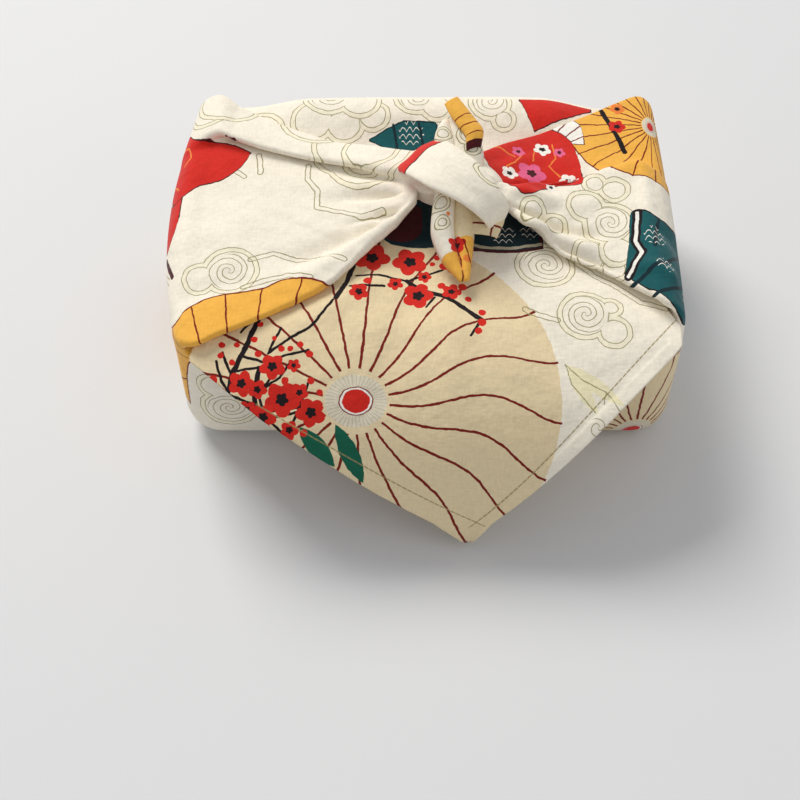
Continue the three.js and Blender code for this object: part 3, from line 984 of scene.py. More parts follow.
class Print:
    """Printed cotton: nodes that draw in the cloth's flat millimetres, motif over motif.

    Shapes are signed distances in millimetres, below zero inside.
    """

    soft = 0.12
    wobble_scale = 0.3
    wobble_reach = 0.8

    def __init__(self, name: str, ground: Ink = Ink.GROUND) -> None:
        """Start a print on plain ground.

        Args:
            name: The material's name.
            ground: Colour of the bare cloth.
        """
        self.material = bpy.data.materials.new(name)
        self.material.use_nodes = True
        self.tree = self.material.node_tree
        uv = self.node("ShaderNodeUVMap")
        uv.uv_map = "flat"
        self.flat = self.vector("SCALE", Number(self, uv.outputs[0]), None, None, 1 / MM)
        wobble = self.noise(self.wobble_scale, 2)
        wobble = self.vector("SUBTRACT", wobble, (0.5, 0.5, 0.5))
        wobble = self.vector("SCALE", wobble, None, None, self.wobble_reach)
        self.point = self.vector("ADD", self.flat, wobble)
        split = self.node("ShaderNodeSeparateXYZ", self.point)
        self.x, self.y = (Number(self, split.outputs[k]) for k in (0, 1))
        self.colour: Number | tuple[float, ...] = ground.linear

    def node(self, kind: str, *values: "Number | float | Sequence[float] | None") -> bpy.types.Node:
        """Add a node and set or link its inputs in order.

        Args:
            kind: The node's type.
            values: One value an input, or None to leave it.

        Returns:
            The node.
        """
        node = self.tree.nodes.new(kind)
        for slot, value in zip(node.inputs, values):
            if isinstance(value, Number):
                self.tree.links.new(value.socket, slot)
            elif value is not None:
                slot.default_value = value
        return node

    def vector(self, operation: str, *values: "Number | float | Sequence[float] | None",
               output: int = 0) -> Number:
        """Put points through a Vector Math node.

        Args:
            operation: The node's operation.
            values: Its inputs.
            output: Which output to read: 0 is a point, 1 a number.

        Returns:
            The result.
        """
        node = self.node("ShaderNodeVectorMath", *values)
        node.operation = operation
        return Number(self, node.outputs[output])

    def noise(self, scale: float, detail: float, stretch: Spot = (1, 1), output: int = 1) -> Number:
        """Make cloudy noise over the flat cloth.

        Args:
            scale: Waves a millimetre.
            detail: Octaves.
            stretch: Factors on the flat coordinates.
            output: Which output to read: 0 is a number, 1 a colour.

        Returns:
            The noise.
        """
        place = self.flat
        if stretch != (1, 1):
            place = self.vector("MULTIPLY", place, (*stretch, 1))
        node = self.node("ShaderNodeTexNoise", place, None, scale, detail)
        node.noise_dimensions = "2D"
        return Number(self, node.outputs[output])

    def fill(self, shape: Number, ink: Ink, strength: float = 1.0) -> None:
        """Print the inside of a shape over what is there.

        Args:
            shape: The shape.
            ink: Its colour.
            strength: How much of the ink shows.
        """
        mask = shape.math("MULTIPLY_ADD", -strength / self.soft, strength / 2, clamp=True)
        if strength < 1:
            mask = mask.math("MINIMUM", strength)
        node = self.tree.nodes.new("ShaderNodeMix")
        node.data_type = "RGBA"
        self.tree.links.new(mask.socket, node.inputs[0])
        if isinstance(self.colour, Number):
            self.tree.links.new(self.colour.socket, node.inputs[6])
        else:
            node.inputs[6].default_value = self.colour
        node.inputs[7].default_value = ink.linear
        self.colour = Number(self, node.outputs[2])

    def line(self, shape: Number, half: float, ink: Ink) -> None:
        """Print a line along a shape's edge."""
        self.fill(abs(shape) - half, ink)

    def disc(self, centre: Spot, radius: float) -> Number:
        """Shape of a disc."""
        return self.vector("DISTANCE", self.point, (*centre, 0), output=1) - radius

    def polar(self, centre: Spot, squash: float = 1.0) -> tuple[Number, Number]:
        """Measure round a centre.

        Args:
            centre: The centre.
            squash: Factor on the flat Y.

        Returns:
            Distance from the centre and angle round it.
        """
        away = self.vector("SUBTRACT", self.point, (*centre, 0))
        if squash != 1:
            away = self.vector("MULTIPLY", away, (1, squash, 1))
        split = self.node("ShaderNodeSeparateXYZ", away)
        x, y = (Number(self, split.outputs[k]) for k in (0, 1))
        return self.vector("LENGTH", away, output=1), y.math("ARCTAN2", x)

    def stroke(self, points: Sequence[Spot]) -> Number:
        """Measure the distance from a line.

        Args:
            points: The line's points.

        Returns:
            The distance.
        """
        nearest = None
        for start, end in zip(points, points[1:]):
            run = (end[0] - start[0], end[1] - start[1], 0)
            square = run[0]**2 + run[1]**2
            away = self.vector("SUBTRACT", self.point, (*start, 0))
            share = self.vector("DOT_PRODUCT", away, (run[0] / square, run[1] / square, 0), output=1)
            share = share.math("ADD", 0, clamp=True)
            foot = self.vector("SCALE", run, None, None, share)
            distance = self.vector("DISTANCE", away, foot, output=1)
            nearest = distance if nearest is None else nearest.least(distance)
        return nearest

    def graph(self, points: Sequence[Spot], sharp: bool = False) -> Number:
        """Draw a curve over the flat X.

        Args:
            points: Its points, from left to right.
            sharp: Whether it runs straight from point to point.

        Returns:
            The curve's flat Y.
        """
        x, y = np.array(points, float).T
        low, rise = y.min() - 1, y.max() - y.min() + 2
        share = self.x.math("MULTIPLY_ADD", 1 / (x[-1] - x[0]), -x[0] / (x[-1] - x[0]), clamp=True)
        node = self.node("ShaderNodeFloatCurve", 1.0, share)
        curve = node.mapping.curves[0]
        for _ in points[2:]:
            curve.points.new(0.5, 0.5)
        for spot, (px, py) in zip(curve.points, points):
            spot.location = ((px - x[0]) / (x[-1] - x[0]), (py - low) / rise)
            spot.handle_type = "VECTOR" if sharp else "AUTO"
        node.mapping.update()
        return Number(self, node.outputs[0]).math("MULTIPLY_ADD", float(rise), float(low))

    def cotton(self, weave: Weave) -> bpy.types.Material:
        """Finish the print as woven cotton.

        Args:
            weave: How the cotton looks.

        Returns:
            The material.
        """
        threads = (1, weave.slub_stretch)
        slubs = (self.noise(weave.slub_scale, 2, threads, output=0)
                 + self.noise(weave.slub_scale, 2, threads[::-1], output=0))
        shade = slubs.math("MULTIPLY_ADD", weave.slub_shade, 1 - weave.slub_shade)
        plain = self.colour if isinstance(self.colour, Number) else self.colour[:3]
        tint = self.vector("SCALE", plain, None, None, shade)
        grain = self.noise(weave.grain_scale, 1, output=0) + slubs
        creases = self.noise(weave.crease_scale, 3, output=0)
        height = creases.math("MULTIPLY_ADD", weave.crease_height, grain * weave.grain_height)
        bump = self.node("ShaderNodeBump", weave.bump_strength, weave.bump_depth * MM, None, height)
        shader = self.tree.nodes["Principled BSDF"]
        self.tree.links.new(tint.socket, shader.inputs["Base Color"])
        self.tree.links.new(bump.outputs[0], shader.inputs["Normal"])
        shader.inputs["Roughness"].default_value = weave.roughness
        shader.inputs["Specular IOR Level"].default_value = weave.specular
        shader.inputs["Sheen Weight"].default_value = weave.sheen
        return self.material


@dataclass(frozen=True)
class Parasol:
    """An open oiled-paper parasol seen from above.

    Attributes:
        centre: Its centre.
        reach: Its radius.
        ribs: Number of ribs.
        ink: Colour of the paper.
        turn: Where the first rib lies, in shares of the gap between ribs.
        hub: Radius of the disc in the middle.
        squash: Factor on the flat Y in the hub.
        wave: How far the ribs sway on the right.
        rib_half: Half width of a rib.
        outlined: Whether the paper has an outline.
        ring: Radius of the pleated ring, as a share of the hub.
        rib_start: Where the ribs begin, as a share of the hub.
        rims: Radii of the dark and the white rim, as shares of the hub.
    """

    centre: Spot
    reach: float
    ribs: int
    ink: Ink
    turn: float = 0.0
    hub: float = 4.8
    squash: float = 1.0
    wave: float = 0.0
    rib_half: float = 0.4
    outlined: bool = False
    ring: float = 2.25
    rib_start: float = 2.4
    rims: tuple[float, float] = (1.24, 1.15)

    def draw(self, sheet: Print) -> None:
        """Print the paper, its ribs and the hub.

        Args:
            sheet: The print to draw on.
        """
        rho, theta = sheet.polar(self.centre)
        phase = theta.math("MULTIPLY_ADD", self.ribs / math.tau, self.turn)
        sheet.fill(rho - self.reach, self.ink)
        if self.outlined:
            sheet.line(rho - self.reach, self.rib_half, Ink.RIB)
        if self.wave:
            sway = (rho * 0.11).math("SINE") * theta.math("COSINE").most(0.0)
            phase = phase + sway * self.wave
        aside = phase.math("PINGPONG", 0.5) * rho * (math.tau / self.ribs)
        rib = (aside - self.rib_half).most(rho - self.reach - 0.6)
        sheet.fill(rib.most(rho * -1.0 + self.rib_start * self.hub), Ink.RIB)
        rho, theta = sheet.polar(self.centre, self.squash)
        sheet.fill(rho - self.ring * self.hub, Ink.HUB)
        pleats = theta.math("MULTIPLY_ADD", self.ribs * 2 / math.tau, 0.5).math("PINGPONG", 0.5)
        sheet.fill((pleats - 0.14).most(rho - self.ring * self.hub), Ink.HUB_LINE, 0.6)
        sheet.fill(rho - self.rims[0] * self.hub, Ink.RIB)
        sheet.fill(rho - self.rims[1] * self.hub, Ink.WHITE)
        sheet.fill(rho - self.hub, Ink.RED)


@dataclass(frozen=True)
class Blossom:
    """A five-petalled plum blossom.

    Attributes:
        centre: Its centre.
        radius: Its radius.
        turn: Its turn in radians, halved by the five petals' pattern.
        ink: Colour of the petals.
        heart: Colour of the heart.
        petals: Radius between the petals and what a petal adds, as shares of the radius.
        stamens: The same for the heart.
    """

    centre: Spot
    radius: float
    turn: float = 0.0
    ink: Ink = Ink.RED
    heart: Ink = Ink.BLACK
    petals: Spot = (0.72, 0.3)
    stamens: Spot = (0.26, 0.12)

    def draw(self, sheet: Print) -> None:
        """Print the petals and the heart.

        Args:
            sheet: The print to draw on.
        """
        rho, theta = sheet.polar(self.centre)
        petal = abs(theta.math("MULTIPLY_ADD", 2.5, self.turn).math("COSINE"))
        for (inner, more), ink in ((self.petals, self.ink), (self.stamens, self.heart)):
            sheet.fill(rho - petal.math("MULTIPLY_ADD", more * self.radius, inner * self.radius), ink)


@dataclass(frozen=True)
class Buds:
    """Round buds.

    Attributes:
        spots: (x, y, radius) of each bud.
        ink: Their colour.
    """

    spots: tuple[tuple[float, float, float], ...]
    ink: Ink = Ink.RED

    def draw(self, sheet: Print) -> None:
        """Print the buds."""
        shapes = [sheet.disc(spot[:2], spot[2]) for spot in self.spots]
        sheet.fill(shapes[0].least(*shapes[1:]), self.ink)


@dataclass(frozen=True)
class Strokes:
    """Brush strokes of one width.

    Attributes:
        lines: Points of each stroke.
        half: Half its width.
        ink: Its colour.
        twin: Where not 0, two lines are drawn this far from the stroke's middle.
    """

    lines: tuple[tuple[Spot, ...], ...]
    half: float
    ink: Ink = Ink.BLACK
    twin: float = 0.0

    def draw(self, sheet: Print) -> None:
        """Print each stroke, or two lines beside it where twin is set.

        Args:
            sheet: The print to draw on.
        """
        for points in self.lines:
            distance = sheet.stroke(points)
            sheet.fill((abs(distance - self.twin) if self.twin else distance) - self.half, self.ink)


@dataclass(frozen=True)
class Leaves:
    """Pointed leaves.

    Attributes:
        leaves: (start, end, width) of each leaf.
        ink: Their colour.
    """

    leaves: tuple[tuple[Spot, Spot, float], ...]
    ink: Ink = Ink.GREEN

    def draw(self, sheet: Print) -> None:
        """Print each leaf as what two discs have in common.

        Args:
            sheet: The print to draw on.
        """
        for start, end, width in self.leaves:
            run = (end[0] - start[0], end[1] - start[1])
            half = math.hypot(*run) / 2
            radius = (half**2 + (width / 2) ** 2) / width
            shift = (radius - width / 2) / (2 * half)
            discs = [sheet.disc(((start[0] + end[0]) / 2 - side * run[1] * shift,
                                 (start[1] + end[1]) / 2 + side * run[0] * shift), radius)
                     for side in (-1, 1)]
            sheet.fill(discs[0].most(discs[1]), self.ink)


@dataclass(frozen=True)
class Cloud:
    """A scroll cloud: round lobes in double outline, with curls inside.

    Attributes:
        lobes: (x, y, radius) of each lobe.
        curls: (x, y, radius, turn) of each curl.
        gap: Width of the band between the two outlines.
        half: Half width of a line.
        tint: How strongly the band is tinted.
        curl_pitch: How far a curl winds out in one turn, in gaps.
    """

    lobes: tuple[tuple[float, float, float], ...]
    curls: tuple[tuple[float, float, float, float], ...] = ()
    gap: float = 1.9
    half: float = 0.17
    tint: float = 0.35
    curl_pitch: float = 2.4

    def draw(self, sheet: Print) -> None:
        """Print the outline, then the curls.

        Args:
            sheet: The print to draw on.
        """
        if self.lobes:
            discs = [sheet.disc(lobe[:2], lobe[2]) for lobe in self.lobes]
            outline = discs[0].least(*discs[1:])
            sheet.fill(outline, Ink.GROUND)
            band = abs(outline + self.gap / 2)
            sheet.fill(band - self.gap / 2, Ink.PALE, self.tint)
            sheet.line(band - self.gap / 2, self.half, Ink.SCROLL)
        pitch = self.curl_pitch * self.gap
        for x, y, radius, turn in self.curls:
            rho, theta = sheet.polar((x, y))
            arm = (rho - theta.math("MULTIPLY_ADD", pitch / math.tau, turn * pitch))
            arm = arm.math("PINGPONG", pitch / 2) - self.gap / 2
            sheet.fill((abs(arm) - self.half).most(rho - radius), Ink.SCROLL)


@dataclass(frozen=True)
class Patch:
    """A patch between two curves.

    Attributes:
        upper: Points of the upper curve, from left to right.
        lower: Points of the lower curve, from left to right.
        ink: Its colour.
        outline: Colour of its outline, if it has one.
        outline_half: Half width of the outline.
        sharp: Whether its edges run straight from point to point.
    """

    upper: tuple[Spot, ...]
    lower: tuple[Spot, ...]
    ink: Ink
    outline: Ink | None = None
    outline_half: float = 0.3
    sharp: bool = False

    def shape(self, sheet: Print) -> Number:
        """Work out the patch's shape.

        Args:
            sheet: The print to draw on.

        Returns:
            The shape.
        """
        inside = (sheet.y - sheet.graph(self.upper, self.sharp)).most(
            sheet.graph(self.lower, self.sharp) - sheet.y)
        left = max(self.upper[0][0], self.lower[0][0])
        right = min(self.upper[-1][0], self.lower[-1][0])
        return inside.most(sheet.x * -1.0 + left, sheet.x - right)

    def draw(self, sheet: Print) -> None:
        """Print the patch.

        Args:
            sheet: The print to draw on.
        """
        shape = self.shape(sheet)
        sheet.fill(shape, self.ink)
        if self.outline:
            sheet.line(shape, self.outline_half, self.outline)


@dataclass(frozen=True)
class Stripes:
    """Fan-like or straight stripes over a patch.

    Attributes:
        patch: Where they show.
        centre: What they run from.
        spacing: Degrees between stripes.
        half: Half width of a stripe.
        ink: Their colour.
    """

    patch: Patch
    centre: Spot
    spacing: float
    half: float
    ink: Ink

    def draw(self, sheet: Print) -> None:
        """Print the stripes.

        Args:
            sheet: The print to draw on.
        """
        rho, theta = sheet.polar(self.centre)
        step = math.radians(self.spacing)
        aside = theta.math("PINGPONG", step / 2) * rho
        sheet.fill((aside - self.half).most(self.patch.shape(sheet)), self.ink)


@dataclass(frozen=True)
class Waves:
    """Rows of small waves inside a disc.

    Attributes:
        spot: (x, y, radius) of the disc.
        length: Length of a wave.
        spacing: Distance between rows.
        ink: Their colour.
        height: Height of a wave, as a share of the spacing.
        half: Half width of a line.
    """

    spot: tuple[float, float, float]
    length: float = 2.6
    spacing: float = 2.8
    ink: Ink = Ink.WHITE
    height: float = 0.62
    half: float = 0.2

    def draw(self, sheet: Print) -> None:
        """Print the wave lines.

        Args:
            sheet: The print to draw on.
        """
        swell = abs((sheet.x * (math.pi / self.length)).math("SINE")) * (self.height * self.spacing)
        row = (sheet.y - swell).math("PINGPONG", self.spacing / 2)
        sheet.fill((row - self.half).most(sheet.disc(self.spot[:2], self.spot[2])), self.ink)


@dataclass(frozen=True)
class Stitching:
    """A straight line of hem stitches, with painted shade along the seam beside it.

    Attributes:
        start: Where it begins.
        end: Where it ends.
        pitch: Length of a stitch and the gap after it.
        half: Half width of the thread.
        stitch: Half length of a stitch, as a share of the pitch.
        seam: How strong the painted shade along the seam is.
    """

    start: Spot
    end: Spot
    pitch: float = 2.2
    half: float = 0.16
    stitch: float = 0.36
    seam: float = 0.35

    def draw(self, sheet: Print) -> None:
        """Print the stitches and the painted shade along the seam.

        Args:
            sheet: The print to draw on.
        """
        run = (self.end[0] - self.start[0], self.end[1] - self.start[1])
        length = math.hypot(*run)
        unit = (run[0] / length, run[1] / length)
        away = sheet.vector("SUBTRACT", sheet.flat, (*self.start, 0))
        along = sheet.vector("DOT_PRODUCT", away, (*unit, 0), output=1)
        aside = sheet.vector("DOT_PRODUCT", away, (-unit[1], unit[0], 0), output=1)
        dash = along.math("PINGPONG", self.pitch / 2) - self.stitch * self.pitch
        ends = (along * -1.0).most(along - length)
        sheet.fill((abs(aside) - self.half).most(dash, ends), Ink.THREAD)
        # Painted shade: a darker band along the seam, laid over the stitches.
        sheet.fill((abs(aside) - 2 * self.half).most(ends), Ink.SCROLL, self.seam)


Motif = Parasol | Blossom | Buds | Strokes | Leaves | Cloud | Patch | Stripes | Waves | Stitching


class Region(IntEnum):
    """Stretches of the cloth, each with its own finish."""

    FLAP_TOP = 0
    FLAP_CLOUDS = 1
    TOP = 2
    WALLS = 3
    LEFT_WING = 4
    RIGHT_WING = 5
    FRONT_TAIL = 6
    THIRD_LEAF = 7
    BACK_TAIL = 8
    BACK_TIP = 9
    BAND = 10
    CORE = 11
    FLAP_PLUM = 12

    @staticmethod
    def of_strip(x: float, y: float) -> "Region":
        """Find the region of a place on the lengthwise strip.

        Args:
            x: Its first flat coordinate.
            y: Its second flat coordinate.

        Returns:
            The region.
        """
        if not -145 < y < 54:
            return Region.WALLS
        if y > -14:
            return Region.TOP
        if x > 21:
            return Region.FLAP_CLOUDS
        return Region.FLAP_PLUM if x < -36 and y < -50 else Region.FLAP_TOP


BIG_PARASOL = Parasol((-25.5, -83), 71, 21, Ink.BEIGE, turn=0.1, squash=1.18, wave=0.26, rib_half=0.46)
UNDER_KNOT: tuple[Motif, ...] = (
    Patch(((10, 10), (25, 8), (41.5, 4)), ((10, -17), (20, -20.5), (30, -21), (41.5, -19)),
          Ink.DEEP_TEAL, Ink.MAROON, 0.6),
    Strokes((((10, -15.4), (20, -18.9), (30, -19.4), (41, -17.4)),), 0.7, Ink.HUB_LINE),
    Waves((28, -13, 4.5)), Waves((38, -11, 4)),
    Patch(((-16, 2), (0, 6), (9, 8)), ((-16, -15), (-6, -19), (9, -18)), Ink.DEEP_TEAL),
    Patch(((-16, 2), (-8, 3), (-2, 0)), ((-16, -14), (-8, -16), (-2, -10)), Ink.MAROON),
)
LEAVES = Leaves((((-45, -92), (-33, -106), 6.5), ((-32.5, -91), (-23, -112), 6.5)))
THIN_BRANCH = ((-34, -45), (-37, -50), (-41, -56), (-49, -61), (-56, -66))
STITCHES = (Stitching((-60, -84), (20, -131)), Stitching((86.7, -53), (14, -132)))
LEFT_GOLD = Patch(
    ((-140, -6), (-124, -27), (-112, -41), (-97, -53), (-91, -54.5), (-86, -50), (-75, -44.5),
     (-60, -42), (-50, -38), (-38, -39.5), (-20, -52)),
    ((-140, -58), (-112, -62), (-95, -75), (-80, -95), (-20, -96)), Ink.GOLD, Ink.RIB, 0.35)
RIGHT_TEAL = Patch(
    ((70, -35), (72.5, -21), (75, -8), (84, -11.5), (96, -11.5), (103, -5), (111, 9), (124, 22),
     (150, 30)),
    ((70, -36), (80, -46), (89, -52), (97, -52), (103, -45), (109.5, -36), (122, -17), (150, 6)),
    Ink.TEAL, Ink.BLACK, 0.35)
WHITE_PLEAT = Patch(((46.5, 33), (50, 40), (57, 44), (60.5, 34)), ((46.5, 32.5), (54, 31), (60.5, 31)),
                    Ink.WHITE, Ink.MAROON, 0.2)
RIGHT_FAN = Patch(
    ((17, 21), (25, 28), (32, 32), (42, 38), (49, 38), (55, 33), (57, 26), (58.4, 15)),
    ((17, 20.5), (20, 16), (25, 6), (31, -2.5), (35, -4.4), (43, 1), (48, 4.4), (57, 6), (58.4, 14)),
    Ink.RED, Ink.MAROON, 0.25)

